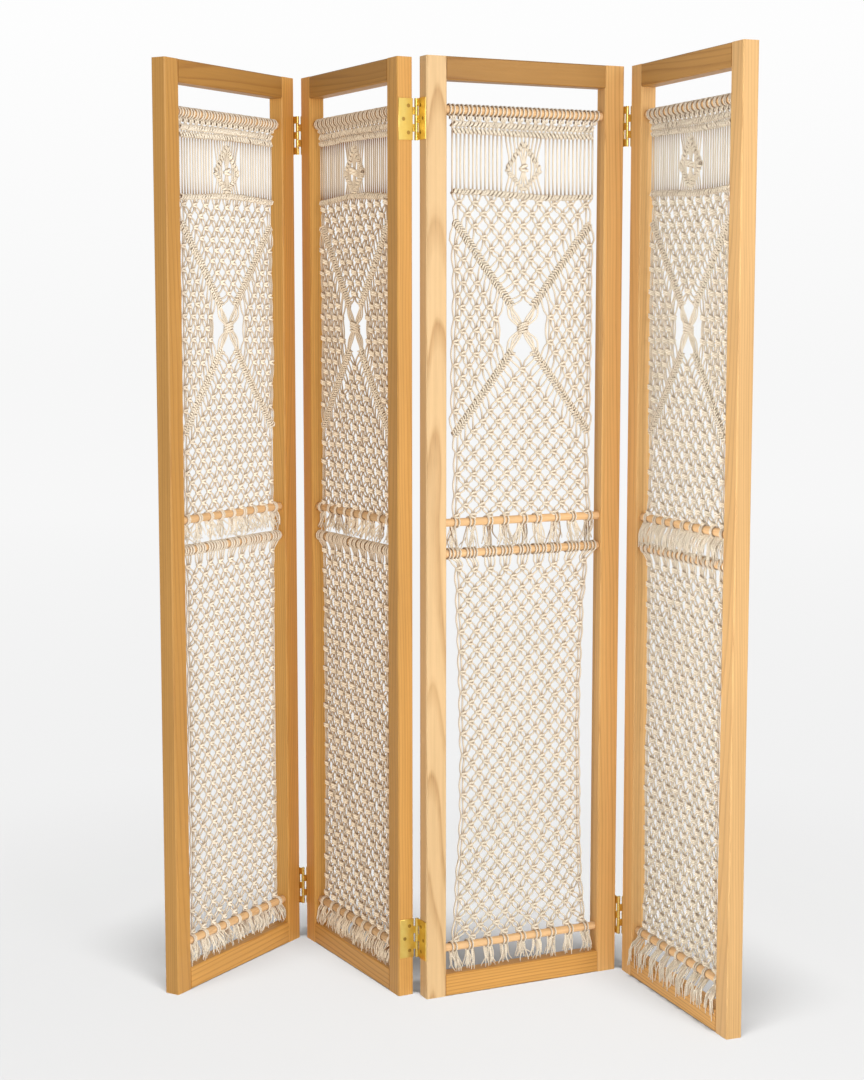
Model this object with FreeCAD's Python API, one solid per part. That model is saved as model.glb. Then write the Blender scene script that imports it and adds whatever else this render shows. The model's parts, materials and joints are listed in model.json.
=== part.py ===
"""Folding screen of four wooden frames, each strung with two knotted cord nets.

Sizes are in millimetres and angles in degrees. A panel is drawn in its own frame:
x from its left edge, y from its front face to its back face, z up from the floor.
The panels are then hung on one another at their hinge pins, and the standing screen
is centred on its footprint with the floor at z = 0.
"""
import FreeCAD, Part
import math
import os

Vector = FreeCAD.Vector
across = Vector(1, 0, 0)
depthwise = Vector(0, 1, 0)
up = Vector(0, 0, 1)

# Wooden frame
panel_height = 1750.0
panel_width = 412.0
frame_thickness = 31.0
stile_width = 41.0
rail_height = 42.0
edge_chamfer = 2.0
tenon_length = 22.0
tenon_thickness = 10.0
tenon_shoulder = 8.0
tenon_clearance = 0.15

# Dowels that carry the nets
dowel_diameter = 15.0
dowel_seat_depth = 12.0
dowel_clearance = 0.15
dowel_bore_sides = 6
top_dowel_drop = 93.0
upper_mid_dowel_height = 903.0
mid_dowel_spacing = 58.0
bottom_dowel_rise = 48.0

# Knotted nets
cord_diameter = 4.0
net_thickness = 6.0
strand_width = 11.0
edge_strand_width = 8.0
net_side_gap = 16.0
upper_waist_draw = 16.0
lower_waist_draw = 34.0
net_columns = 3
upper_rows = 9
lower_rows = 10
outline_steps = 5
end_row_share = 0.5
ridge_proud = 1.5
ridge_height = 10.0
ridge_overhang = 2.0

# Loops of the nets round their dowels, and the cord ends below the lower loops
loop_sides = 6
loop_side_gap = 9.0
loop_clearance = 0.3
fringe_clearance = 3.4
fringe_tuft_gap = 7.0
fringe_tufts = 5

# Header of an upper net: straight cords between two ridges, with a diamond in the middle
header_ridge_drop = 32.0
header_ridge_height = 22.0
header_length = 118.0
diamond_half_width = 36.0
diamond_half_height = 44.0
diamond_arm_width = 9.0
diamond_knot_width = 16.0
diamond_knot_height = 18.0
header_slits_per_side = 3
header_slit_width = 16.0

# Crossing arms below the header
cross_drop_share = 0.407
cross_rows_up = 3
cross_rows_down = 3
cross_arm_width = 14.0
cross_knot_width = 30.0
cross_knot_height = 44.0
cross_knot_thickness = 12.0

# Butt hinges
hinge_height = 75.0
hinge_inset = 111.0
knuckle_count = 5
knuckle_sides = 8
knuckle_radius = 3.4
knuckle_gap = 0.4
pin_radius = 2.0
pin_clearance = 0.05
pin_proud = 6.0
leaf_thickness = 2.0
leaf_margin = 2.0

# Hinge screws, drawn with few sides because they are small and many
screw_sides = 6
screw_head_radius = 3.6
screw_shank_radius = 1.8
screw_length = 18.0
screw_clearance = 0.1
screw_rise = 24.0
screw_near = 9.0
screw_far_margin = 10.0

# How the screen stands
first_panel_angle = 59.6
fold_1_2_angle = 59.0
fold_2_3_angle = 93.0
fold_3_4_angle = 86.0
straight_angle = 180.0

mid_depth = frame_thickness / 2
opening_width = panel_width - 2 * stile_width
net_end_width = opening_width - 2 * net_side_gap
loop_run = opening_width - 2 * loop_side_gap
dowel_radius = dowel_diameter / 2
loop_inner = dowel_radius + loop_clearance
loop_outer = loop_inner + cord_diameter
hinge_heights = (panel_height - hinge_inset, hinge_inset)
dowel_heights = {
    "top_dowel": panel_height - top_dowel_drop,
    "upper_mid_dowel": upper_mid_dowel_height,
    "lower_mid_dowel": upper_mid_dowel_height - mid_dowel_spacing,
    "bottom_dowel": rail_height + bottom_dowel_rise,
}

opposite = {"left": "right", "right": "left"}

# The pins of the first and last folds stand in front, and those of the middle fold behind.
folds = (
    {"name": "1_2", "angle": fold_1_2_angle, "at_back": False},
    {"name": "2_3", "angle": fold_2_3_angle, "at_back": True},
    {"name": "3_4", "angle": fold_3_4_angle, "at_back": False},
)


def box(low, high):
    """Box between two opposite corners."""
    size = high - low
    return Part.makeBox(size.x, size.y, size.z, low)


def polygon(points):
    """Closed wire through the points."""
    return Part.makePolygon(points + points[:1])


def regular_points(sides, radius, centre, first, second):
    """Corners of a regular polygon whose flats lie at the radius, in the plane of two unit vectors.

    The middle of one flat points along the first vector.
    """
    corner_radius = radius / math.cos(math.pi / sides)
    points = []
    for side in range(sides):
        angle = math.pi * (2 * side + 1) / sides
        reach = first * math.cos(angle) + second * math.sin(angle)
        points.append(centre + reach * corner_radius)
    return points


def regular_face(sides, radius, centre, first, second):
    """Flat face inside a regular polygon."""
    return Part.Face(polygon(regular_points(sides, radius, centre, first, second)))


def flat_sided(rings):
    """Solid with flat sides between rings of corners, closed by the first and last rings."""
    faces = [Part.Face(polygon(rings[0])), Part.Face(polygon(rings[-1]))]
    for ring, next_ring in zip(rings, rings[1:]):
        for corner in range(len(ring)):
            before = corner - 1
            corners = [ring[before], ring[corner], next_ring[corner], next_ring[before]]
            faces.append(Part.Face(polygon(corners)))
    return Part.Solid(Part.Shell(faces))


def eased(solid, direction):
    """Solid with the edges that run along a direction chamfered."""
    edges = []
    for edge in solid.Edges:
        run = edge.Vertexes[-1].Point - edge.Vertexes[0].Point
        if run.cross(direction).Length < Part.Precision.confusion():
            edges.append(edge)
    return solid.makeChamfer(edge_chamfer, edges)


def tenon(x_start, x_end, rail_bottom, clearance):
    """Tenon block between two x values, grown by a clearance across the grain."""
    half_thickness = tenon_thickness / 2 + clearance
    inset = tenon_shoulder - clearance
    low = Vector(x_start, mid_depth - half_thickness, rail_bottom + inset)
    high = Vector(x_end, mid_depth + half_thickness, rail_bottom + rail_height - inset)
    return box(low, high)


def rail_bottoms():
    """Lower edges of the bottom and top rails."""
    return (0, panel_height - rail_height)


def make_stile(side, fold):
    """Upright with mortises for the rails and blind bores for the dowels in its inner face.

    Where a fold's hinges are screwed to its edge, it has pilot holes for their screws.
    The bores and pilot holes are hidden, so they are drawn with a few flats about the round pieces.
    """
    is_left = side == "left"
    outer = 0 if is_left else panel_width
    inner = stile_width if is_left else panel_width - stile_width
    inward = -1 if is_left else 1
    low = Vector(min(outer, inner), 0, 0)
    high = Vector(max(outer, inner), frame_thickness, panel_height)
    stile = eased(box(low, high), up)
    mortise_end = inner + inward * (tenon_length + tenon_clearance)
    cuts = []
    for rail_bottom in rail_bottoms():
        cuts.append(tenon(min(inner, mortise_end), max(inner, mortise_end), rail_bottom, tenon_clearance))
    for height in dowel_heights.values():
        mouth = Vector(inner, mid_depth, height)
        bore = regular_face(dowel_bore_sides, dowel_radius + dowel_clearance, mouth, up, depthwise)
        cuts.append(bore.extrude(across * (inward * dowel_seat_depth)))
    if fold:
        cuts += in_panel(fold, opposite[side], placed_screws(screw_clearance, screw_length))
    return stile.cut(cuts)


def make_rail(rail_bottom):
    """Rail between the stiles, with a tenon at each end."""
    low = Vector(stile_width, 0, rail_bottom)
    high = Vector(panel_width - stile_width, frame_thickness, rail_bottom + rail_height)
    rail = eased(box(low, high), across)
    tenon_start = stile_width - tenon_length
    return rail.fuse(tenon(tenon_start, panel_width - tenon_start, rail_bottom, 0)).removeSplitter()


def make_dowel(height):
    """Round bar between the stiles, its ends in their bores."""
    start = stile_width - dowel_seat_depth + dowel_clearance
    length = panel_width - 2 * start
    return Part.makeCylinder(dowel_radius, length, Vector(start, mid_depth, height), across)


def net_point(x, z):
    """Point on the front face of a net, from its middle line and height."""
    return Vector(panel_width / 2 + x, mid_depth - net_thickness / 2, z)


def net_slab(outline, thickness, holes=()):
    """Flat holed slab of a thickness, centred in the frame's depth."""
    wires = [polygon([net_point(x, z) for x, z in points]) for points in [outline] + list(holes)]
    face = Part.makeFace(wires, "Part::FaceMakerBullseye")
    face.translate(Vector(0, (net_thickness - thickness) / 2, 0))
    return face.extrude(Vector(0, thickness, 0))


def half_width(height, low, high, waist_draw):
    """Half the width of a net at a height: it is drawn in between its dowels."""
    reach = (height - low) / (high - low)
    return (net_end_width - waist_draw * math.sin(math.pi * reach)) / 2


def net_outline(low, high, waist_draw):
    """Outline of a net between two heights, drawn in at both sides."""
    heights = [low + (high - low) * step / outline_steps for step in range(outline_steps + 1)]
    right = [(half_width(z, low, high, waist_draw), z) for z in heights]
    left = [(-x, z) for x, z in reversed(right)]
    return right + left


def cut_at(points, limit, keep):
    """Part of a convex outline below a height where keep is 1, or above it where keep is -1."""
    kept = []
    for (x, z), (next_x, next_z) in zip(points, points[1:] + points[:1]):
        if keep * (z - limit) <= 0:
            kept.append((x, z))
        if (z - limit) * (next_z - limit) < 0:
            share = (limit - z) / (next_z - z)
            kept.append((x + (next_x - x) * share, limit))
    return kept


def lattice_gaps(middle_row, row_pitch, floor, ceiling, width_at):
    """Diamond gaps of a net between two heights, with half gaps beside its narrow rows.

    The middle row and every second row from it are narrow: their gaps lie between the columns.
    The gaps of the first and last rows are cut off at the floor and the ceiling.
    """
    gaps = []
    half_pitch = net_end_width / (2 * net_columns)
    edge_distance = half_pitch * row_pitch / math.hypot(half_pitch, row_pitch)
    opening = 1 - strand_width / (2 * edge_distance)
    first = math.ceil((middle_row - ceiling) / row_pitch - end_row_share)
    last = math.floor((middle_row - floor) / row_pitch + end_row_share)
    for row in range(first, last + 1):
        middle = middle_row - row * row_pitch
        gap_count = net_columns if row % 2 else net_columns + 1
        for column in range(gap_count):
            place = (2 * column - gap_count + 1) / net_columns
            arm = opening / net_columns
            corners = [(place - arm, 0), (place, -opening), (place + arm, 0), (place, opening)]
            points = []
            for sideways, rise in corners:
                height = middle + rise * row_pitch
                if abs(sideways) <= 1:
                    points.append((sideways * (width_at(height) - edge_strand_width), height))
            gaps.append(cut_at(cut_at(points, ceiling, 1), floor, -1))
    return gaps


def bar(start, end, width, thickness):
    """Straight raised bar of a net between two points of its middle line."""
    run = (end[0] - start[0], end[1] - start[1])
    length = math.hypot(*run)
    side = (-run[1] / length * width / 2, run[0] / length * width / 2)
    outline = [(start[0] + side[0], start[1] + side[1]), (start[0] - side[0], start[1] - side[1])]
    outline += [(end[0] - side[0], end[1] - side[1]), (end[0] + side[0], end[1] + side[1])]
    return net_slab(outline, thickness)


def block(middle, width, height, thickness):
    """Upright knot block of a net, about its middle height."""
    outline = [(-width / 2, middle - height / 2), (width / 2, middle - height / 2)]
    outline += [(width / 2, middle + height / 2), (-width / 2, middle + height / 2)]
    return net_slab(outline, thickness)


def loops(height):
    """Sleeve of cord loops round a dowel, clear of the wood."""
    start = Vector((panel_width - loop_run) / 2, mid_depth, height)
    outer = regular_face(loop_sides, loop_outer, start, up, depthwise)
    inner = regular_face(loop_sides, loop_inner, start, up, depthwise)
    return outer.cut(inner).extrude(across * loop_run)


def fringe(dowel_height, stop):
    """Cord ends that hang below the loops of a dowel, in pointed tufts, to just above a stop."""
    root = dowel_height - loop_inner - cord_diameter / 2
    tip = stop + fringe_clearance
    tuft_width = net_end_width / fringe_tufts
    outline = [(-net_end_width / 2, root)]
    for tuft in range(fringe_tufts):
        left = -net_end_width / 2 + tuft * tuft_width
        outline.append((left + fringe_tuft_gap / 2, tip))
        outline.append((left + tuft_width - fringe_tuft_gap / 2, tip))
        if tuft < fringe_tufts - 1:
            outline.append((left + tuft_width, root - cord_diameter))
    outline.append((net_end_width / 2, root))
    return net_slab(outline, net_thickness)


def joined_net(slab, extras, upper_dowel, lower_dowel, stop):
    """One net with its loops, ridges and cord ends, which stop above a height, in a single solid."""
    pieces = extras + [loops(upper_dowel), loops(lower_dowel), fringe(lower_dowel, stop)]
    return slab.fuse(pieces).removeSplitter()


def net_span(upper_dowel, lower_dowel):
    """Lowest and highest heights of a net's slab, which end inside the loops."""
    inset = loop_inner + cord_diameter / 2
    return lower_dowel + inset, upper_dowel - inset


def header_gaps(ceiling, floor):
    """Gaps between the straight cords of the header, and those inside and about its diamond."""
    gaps = []
    middle = (ceiling + floor) / 2
    edge = net_end_width / 2 - edge_strand_width
    pitch = (edge - diamond_half_width) / header_slits_per_side
    for side in (-1, 1):
        for slit in range(header_slits_per_side):
            outer = edge - slit * pitch
            inner = outer - header_slit_width
            corners = ((outer, floor), (inner, floor), (inner, ceiling), (outer, ceiling))
            gaps.append([(side * x, z) for x, z in corners])
        inset = diamond_knot_width / 2
        reach = diamond_half_width - diamond_arm_width
        rise = diamond_half_height * (reach - inset) / diamond_half_width
        gaps.append([(side * inset, middle - rise), (side * reach, middle), (side * inset, middle + rise)])
    return gaps


def make_upper_net():
    """Net between the top dowel and the upper middle dowel, with its header and crossing arms."""
    upper_dowel = dowel_heights["top_dowel"]
    lower_dowel = dowel_heights["upper_mid_dowel"]
    low, high = net_span(upper_dowel, lower_dowel)

    def width_at(height):
        return half_width(height, low, high, upper_waist_draw)

    header_ridge = upper_dowel - header_ridge_drop
    field_ridge = header_ridge - header_length
    field_height = field_ridge - lower_dowel
    row_pitch = field_height / upper_rows
    header_ceiling = header_ridge - header_ridge_height / 2
    header_floor = field_ridge + ridge_height / 2
    cross = field_ridge - cross_drop_share * field_height
    field_floor = lower_dowel + loop_outer + edge_strand_width
    gaps = header_gaps(header_ceiling, header_floor)
    gaps += lattice_gaps(cross, row_pitch, field_floor, field_ridge - ridge_height / 2, width_at)
    slab = net_slab(net_outline(low, high, upper_waist_draw), net_thickness, gaps)

    raised = net_thickness + 2 * ridge_proud
    extras = []
    for height, tall in ((header_ridge, header_ridge_height), (field_ridge, ridge_height)):
        extras.append(block(height, 2 * (width_at(height) + ridge_overhang), tall, raised))
    for side in (-1, 1):
        for rise in (cross_rows_up, -cross_rows_down):
            end_height = cross + rise * row_pitch
            end = (side * width_at(end_height), end_height)
            extras.append(bar((0, cross), end, cross_arm_width, raised))
        diamond = (header_ceiling + header_floor) / 2
        for rise in (diamond_half_height, -diamond_half_height):
            corner = (side * diamond_half_width, diamond)
            extras.append(bar((0, diamond + rise), corner, diamond_arm_width, raised))
    extras.append(block(cross, cross_knot_width, cross_knot_height, cross_knot_thickness))
    extras.append(block(diamond, diamond_knot_width, diamond_knot_height, raised))
    stop = dowel_heights["lower_mid_dowel"] + loop_outer
    return joined_net(slab, extras, upper_dowel, lower_dowel, stop)


def make_lower_net():
    """Plain lattice net between the lower middle dowel and the bottom dowel, drawn in at the waist."""
    upper_dowel = dowel_heights["lower_mid_dowel"]
    lower_dowel = dowel_heights["bottom_dowel"]
    low, high = net_span(upper_dowel, lower_dowel)

    def width_at(height):
        return half_width(height, low, high, lower_waist_draw)

    floor = lower_dowel + loop_outer + edge_strand_width
    ceiling = upper_dowel - loop_outer - edge_strand_width
    row_pitch = (upper_dowel - lower_dowel) / lower_rows
    gaps = lattice_gaps((floor + ceiling) / 2, row_pitch, floor, ceiling, width_at)
    slab = net_slab(net_outline(low, high, lower_waist_draw), net_thickness, gaps)
    return joined_net(slab, [], upper_dowel, lower_dowel, rail_height)


def knuckle_span(index):
    """Lowest and highest heights of a knuckle, from the hinge's middle."""
    length = (hinge_height - (knuckle_count - 1) * knuckle_gap) / knuckle_count
    bottom = -hinge_height / 2 + index * (length + knuckle_gap)
    return bottom, bottom + length


def leaf_reach():
    """Width of a leaf's plate on the stile's edge."""
    return frame_thickness - leaf_margin


def rolled_strip(bottom, top):
    """Stretch of leaf that rolls round the pin: plate, barrel and bore in one section of a few flats."""
    pin = Vector(0, 0, bottom)
    plate_low = Vector(-knuckle_radius, 0, bottom)
    plate = Part.makePlane(leaf_thickness, pin_proud + leaf_reach(), plate_low)
    barrel = regular_face(knuckle_sides, knuckle_radius, pin, across, depthwise)
    bore = regular_face(knuckle_sides, pin_radius + pin_clearance, pin, across, depthwise)
    section = plate.fuse(barrel).removeSplitter().cut(bore)
    return section.extrude(up * (top - bottom))


def screw_places():
    """Distance from the stile's face and height from the hinge's middle of each screw in a leaf."""
    screw_far = leaf_reach() - screw_far_margin
    return ((screw_near, screw_rise), (screw_far, 0), (screw_near, -screw_rise))


def screw_form(clearance, bite):
    """Countersunk screw along -x, its head flush with the leaf's open face, grown by a clearance."""
    head_face = leaf_thickness - knuckle_radius
    wood_face = -knuckle_radius
    stations = (
        (head_face, screw_head_radius),
        (wood_face, screw_shank_radius),
        (wood_face - bite, screw_shank_radius),
    )
    rings = []
    for x, radius in stations:
        rings.append(regular_points(screw_sides, radius + clearance, Vector(x, 0, 0), up, depthwise))
    return flat_sided(rings)


def placed_screws(clearance, bite):
    """The screws of one leaf, in the hinge's frame."""
    screws = []
    for reach, height in screw_places():
        screw = screw_form(clearance, bite)
        screw.translate(Vector(0, pin_proud + reach, height))
        screws.append(screw)
    return screws


def make_leaf(knuckles):
    """Leaf of a hinge about its pin, lying against a stile on the -x side, with its own knuckles."""
    plate_low = Vector(-knuckle_radius, pin_proud, -hinge_height / 2)
    plate_high = Vector(leaf_thickness - knuckle_radius, pin_proud + leaf_reach(), hinge_height / 2)
    strips = [rolled_strip(*knuckle_span(index)) for index in knuckles]
    leaf = box(plate_low, plate_high).fuse(strips).removeSplitter()
    return leaf.cut(placed_screws(screw_clearance, leaf_thickness))


def make_pin():
    """Hinge pin, flush with the ends of the outer knuckles."""
    return Part.makeCylinder(pin_radius, hinge_height, Vector(0, 0, -hinge_height / 2))


def pin_line(side, at_back):
    """Place of a pin beyond the left or right edge of a panel, proud of its front or back face."""
    x = panel_width + knuckle_radius if side == "right" else -knuckle_radius
    y = frame_thickness + pin_proud if at_back else -pin_proud
    return Vector(x, y, 0)


def is_short_leaf(fold, side):
    """Whether the leaf on a side of a fold is the one with fewer knuckles.

    A hinge at the back is the same hinge turned half round, so its leaves change sides.
    """
    return (side == "right") != fold["at_back"]


def in_panel(fold, side, shapes):
    """Copies of a hinge's shapes at both hinge heights, in the frame of the panel on a side of a fold."""
    turn = FreeCAD.Rotation(up, straight_angle if fold["at_back"] else 0)
    pin = pin_line(opposite[side], fold["at_back"])
    copies = []
    for height in hinge_heights:
        place = FreeCAD.Placement(Vector(pin.x, pin.y, height), turn)
        for shape in shapes:
            turned_over = shape.mirror(Vector(0, 0, 0), across) if is_short_leaf(fold, side) else shape
            copies.append(turned_over.transformed(place.toMatrix(), True))
    return copies


def panel_places():
    """Place of each panel, hung on the one before it at their pin line."""
    place = FreeCAD.Placement(Vector(0, 0, 0), FreeCAD.Rotation(up, first_panel_angle))
    places = [place]
    yaw = first_panel_angle
    for fold in folds:
        pin = place.multVec(pin_line("right", fold["at_back"]))
        turn = straight_angle - fold["angle"]
        yaw += turn if fold["at_back"] else -turn
        rotation = FreeCAD.Rotation(up, yaw)
        place = FreeCAD.Placement(pin - rotation.multVec(pin_line("left", fold["at_back"])), rotation)
        places.append(place)
    return places


def panel_pieces(left_fold, right_fold):
    """Wooden pieces of one panel by name, in its own frame."""
    pieces = {"left_stile": make_stile("left", left_fold), "right_stile": make_stile("right", right_fold)}
    for name, rail_bottom in zip(("bottom_rail", "top_rail"), rail_bottoms()):
        pieces[name] = make_rail(rail_bottom)
    for name, height in dowel_heights.items():
        pieces[name] = make_dowel(height)
    return pieces


def hinge_pieces(fold, side):
    """Leaves and screws on one side of a fold by name, with the pins on the side of the longer leaf."""
    short = is_short_leaf(fold, side)
    leaf = make_leaf(range(1 if short else 0, knuckle_count, 2))
    pieces = {
        side + "_leaves": in_panel(fold, side, [leaf]),
        side + "_screws": in_panel(fold, side, placed_screws(0, screw_length)),
    }
    if not short:
        pieces["pins"] = in_panel(fold, side, [make_pin()])
    return pieces


def build():
    """Every sub-part of the standing screen by node name, and the place of each panel."""
    places = panel_places()
    nets = {"upper_macrame": make_upper_net(), "lower_macrame": make_lower_net()}
    edges = (None,) + folds + (None,)
    nodes = {}
    for index, place in enumerate(places):
        pieces = panel_pieces(edges[index], edges[index + 1]) | nets
        for name, piece in pieces.items():
            nodes[f"panel_{index + 1}_{name}"] = piece.transformed(place.toMatrix(), True)
    for index, fold in enumerate(folds):
        for side, place in zip(("left", "right"), places[index:]):
            for name, copies in hinge_pieces(fold, side).items():
                piece = Part.makeCompound(copies)
                nodes[f"hinge_{fold['name']}_{name}"] = piece.transformed(place.toMatrix(), True)
    return nodes, places


def main():
    """Build the screen, centre it on its footprint and write one file for each sub-part."""
    nodes, places = build()
    bounds = Part.makeCompound(list(nodes.values())).BoundBox
    shift = Vector(-bounds.Center.x, -bounds.Center.y, -bounds.ZMin)
    os.makedirs("parts", exist_ok=True)
    for name, shape in nodes.items():
        shape.translate(shift)
        shape.exportStep(f"parts/{name}.step")
    for index, fold in enumerate(folds):
        pin = places[index].multVec(pin_line("right", fold["at_back"])) + shift
        print(f"fold {fold['name']} pin at {pin.x:.4f}, {pin.y:.4f}")
    for index, place in enumerate(places):
        corner = place.Base + shift
        print(f"panel {index + 1} corner at {corner.x:.4f}, {corner.y:.4f}")
    size = f"{bounds.XLength:.3f} x {bounds.YLength:.3f} x {bounds.ZLength:.3f}"
    print(f"screen {size}, {len(nodes)} sub-parts")


main()
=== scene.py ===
"""Dresses a folding screen: grained timber, knotted cotton nets, brass hinges and a plain studio.

Lengths are in metres. A panel's own frame has x across from its middle line, y from the middle of
the frame's depth towards the back, and z up from the floor.
"""
import json
import logging
import math
from dataclasses import dataclass, field, replace
from enum import Enum
from typing import Optional, Sequence, Union

import bpy
import numpy as np
from mathutils import Matrix, Vector

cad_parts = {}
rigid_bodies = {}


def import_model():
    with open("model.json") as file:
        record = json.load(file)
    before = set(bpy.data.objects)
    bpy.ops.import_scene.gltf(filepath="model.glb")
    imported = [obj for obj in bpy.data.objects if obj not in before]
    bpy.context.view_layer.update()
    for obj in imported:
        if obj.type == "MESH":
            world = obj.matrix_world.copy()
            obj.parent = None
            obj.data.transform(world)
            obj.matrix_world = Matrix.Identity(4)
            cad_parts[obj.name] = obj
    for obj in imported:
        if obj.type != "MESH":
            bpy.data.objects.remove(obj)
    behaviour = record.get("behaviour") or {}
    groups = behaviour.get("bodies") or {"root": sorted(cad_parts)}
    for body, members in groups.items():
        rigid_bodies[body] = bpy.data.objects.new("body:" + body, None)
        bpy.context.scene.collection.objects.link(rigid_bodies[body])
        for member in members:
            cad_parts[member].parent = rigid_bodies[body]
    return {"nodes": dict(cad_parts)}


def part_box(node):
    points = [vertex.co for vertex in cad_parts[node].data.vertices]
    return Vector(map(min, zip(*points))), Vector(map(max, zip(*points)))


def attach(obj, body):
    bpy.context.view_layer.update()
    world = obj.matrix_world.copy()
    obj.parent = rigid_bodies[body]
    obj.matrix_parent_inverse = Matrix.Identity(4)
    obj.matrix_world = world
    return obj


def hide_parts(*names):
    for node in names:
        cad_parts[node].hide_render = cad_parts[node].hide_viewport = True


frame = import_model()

LOG = logging.getLogger("macrame_screen")
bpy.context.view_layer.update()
MM = 0.001
PANELS = (1, 2, 3, 4)
FOLDS = ("1_2", "2_3", "3_4")
UP = np.array([0.0, 0.0, 1.0])
ACROSS = np.array([1.0, 0.0, 0.0])
BACK = np.array([0.0, 1.0, 0.0])
FULL_TURN = 2 * math.pi
UPPER_SEED = 100
LOWER_SEED = 200
Colour = tuple[float, float, float, float]
Triple = tuple[float, float, float]
Value = Union["Field", float, Sequence[float]]


def srgb(red: int, green: int, blue: int) -> Colour:
    """Linear colour with full opacity.

    Args:
        red: Display value of red, from 0 to 255.
        green: Display value of green.
        blue: Display value of blue.

    Returns:
        The colour as shaders take it.
    """
    shares = [channel / 255 for channel in (red, green, blue)]
    linear = [s / 12.92 if s <= 0.04045 else ((s + 0.055) / 1.055) ** 2.4 for s in shares]
    return (linear[0], linear[1], linear[2], 1.0)


class Field:
    """A shader socket that takes part in Python arithmetic."""

    def __init__(self, shader: "Shader", socket: bpy.types.NodeSocket) -> None:
        """Wrap an output socket of a shader's tree."""
        self.shader = shader
        self.socket = socket

    def __add__(self, other: Value) -> "Field":
        """Sum of two fields."""
        return self.shader.math("ADD", self, other)

    __radd__ = __add__

    def __sub__(self, other: Value) -> "Field":
        """Difference of two fields."""
        return self.shader.math("SUBTRACT", self, other)

    def __rsub__(self, other: Value) -> "Field":
        """Difference with a plain number first."""
        return self.shader.math("SUBTRACT", other, self)

    def __mul__(self, other: Value) -> "Field":
        """Product of two fields."""
        return self.shader.math("MULTIPLY", self, other)

    __rmul__ = __mul__

    def __truediv__(self, other: Value) -> "Field":
        """Quotient of two fields."""
        return self.shader.math("DIVIDE", self, other)

    def __rtruediv__(self, other: Value) -> "Field":
        """Quotient with a plain number first."""
        return self.shader.math("DIVIDE", other, self)

    def __pow__(self, other: Value) -> "Field":
        """Power of a field."""
        return self.shader.math("POWER", self, other)

    def apply(self, operation: str) -> "Field":
        """Result of a one-sided operation such as SINE or FRACT."""
        return self.shader.math(operation, self, 0.0)


class Shader:
    """The node tree of one material or of the world, written as expressions."""

    def __init__(self, owner: Union[bpy.types.Material, bpy.types.World]) -> None:
        """Start an empty tree.

        Args:
            owner: A new material or world.
        """
        self.owner = owner
        self.owner.use_nodes = True
        self.tree = self.owner.node_tree
        self.tree.nodes.clear()

    @classmethod
    def material(cls, name: str) -> "Shader":
        """Shader of a new material."""
        return cls(bpy.data.materials.new(name))

    def node(self, kind: str, settings: dict, sockets: dict, output: Union[int, str] = 0) -> Field:
        """Add any node.

        Args:
            kind: The node's type.
            settings: Its properties, set first; stops are a ramp's positions and levels.
            sockets: Values or fields for its inputs, by name or number.
            output: The output to hand back.

        Returns:
            The chosen output as a field.
        """
        made = self.tree.nodes.new(kind)
        for key, setting in settings.items():
            if key == "stops":
                elements = made.color_ramp.elements
                while len(elements) < len(setting):
                    elements.new(1.0)
                for element, (position, level) in zip(elements, setting):
                    element.position = position
                    element.color = (level, level, level, 1.0)
            else:
                setattr(made, key, setting)
        for key, value in sockets.items():
            if isinstance(value, Field):
                self.tree.links.new(value.socket, made.inputs[key])
            else:
                made.inputs[key].default_value = value
        return Field(self, made.outputs[output])

    def math(self, operation: str, first: Value, second: Value) -> Field:
        """Math node between two values."""
        return self.node("ShaderNodeMath", {"operation": operation}, {0: first, 1: second})

    def spot(self) -> Field:
        """Place in the object's own frame."""
        return self.node("ShaderNodeTexCoord", {}, {}, "Object")

    def vector(self, *axes: Value) -> Field:
        """Vector from one to three axes."""
        return self.node("ShaderNodeCombineXYZ", {}, dict(enumerate(axes)))

    def tint(self, red: Field, green: Field, blue: Field) -> Field:
        """Colour from its three channels."""
        return self.node("ShaderNodeCombineColor", {}, {0: red, 1: green, 2: blue})

    def split(self, vector: Field) -> tuple[Field, Field, Field]:
        """Take a vector apart.

        Args:
            vector: The vector.

        Returns:
            Its three axes.
        """
        first = self.node("ShaderNodeSeparateXYZ", {}, {0: vector})
        outputs = first.socket.node.outputs
        return first, Field(self, outputs[1]), Field(self, outputs[2])

    def noise(self, vector: Field, scale: float, seed: float, detail: float) -> Field:
        """Soft noise from 0 to 1, set apart from other noises by a seed."""
        sockets = {"Vector": vector, "W": seed, "Scale": scale, "Detail": detail}
        return self.node("ShaderNodeTexNoise", {"noise_dimensions": "4D"}, sockets)

    def drawn_noise(self, vector: Field, draw: Triple, scale: float, seed: float, detail: float) -> Field:
        """Soft noise drawn out along some axes, as grain is along the fibres."""
        drawn = self.node("ShaderNodeVectorMath", {"operation": "MULTIPLY"}, {0: vector, 1: draw})
        return self.noise(drawn, scale, seed, detail)

    def ramp(self, factor: Field, stops: Sequence[tuple[float, float]]) -> Field:
        """Grey ramp through positions and levels."""
        return self.node("ShaderNodeValToRGB", {"stops": stops}, {0: factor})

    def mix(self, factor: Value, first: Value, second: Value, blend: str = "MIX") -> Field:
        """Colour between two colours, or one blended over the other."""
        settings = {"data_type": "RGBA", "blend_type": blend, "clamp_factor": True}
        return self.node("ShaderNodeMix", settings, {0: factor, 6: first, 7: second}, 2)

    def bump(self, height: Field, distance: float, strength: float) -> Field:
        """Normal from a height field."""
        sockets = {"Height": height, "Distance": distance, "Strength": strength}
        return self.node("ShaderNodeBump", {}, sockets)

    def surface(self, sockets: dict) -> bpy.types.Material:
        """Finish the tree with a Principled surface and hand back its material."""
        self.finish(self.node("ShaderNodeBsdfPrincipled", {}, sockets))
        return self.owner

    def finish(self, shade: Field) -> None:
        """Lead a shader to the output."""
        kind = "World" if isinstance(self.owner, bpy.types.World) else "Material"
        self.tree.links.new(shade.socket, self.tree.nodes.new(f"ShaderNodeOutput{kind}").inputs["Surface"])


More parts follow.
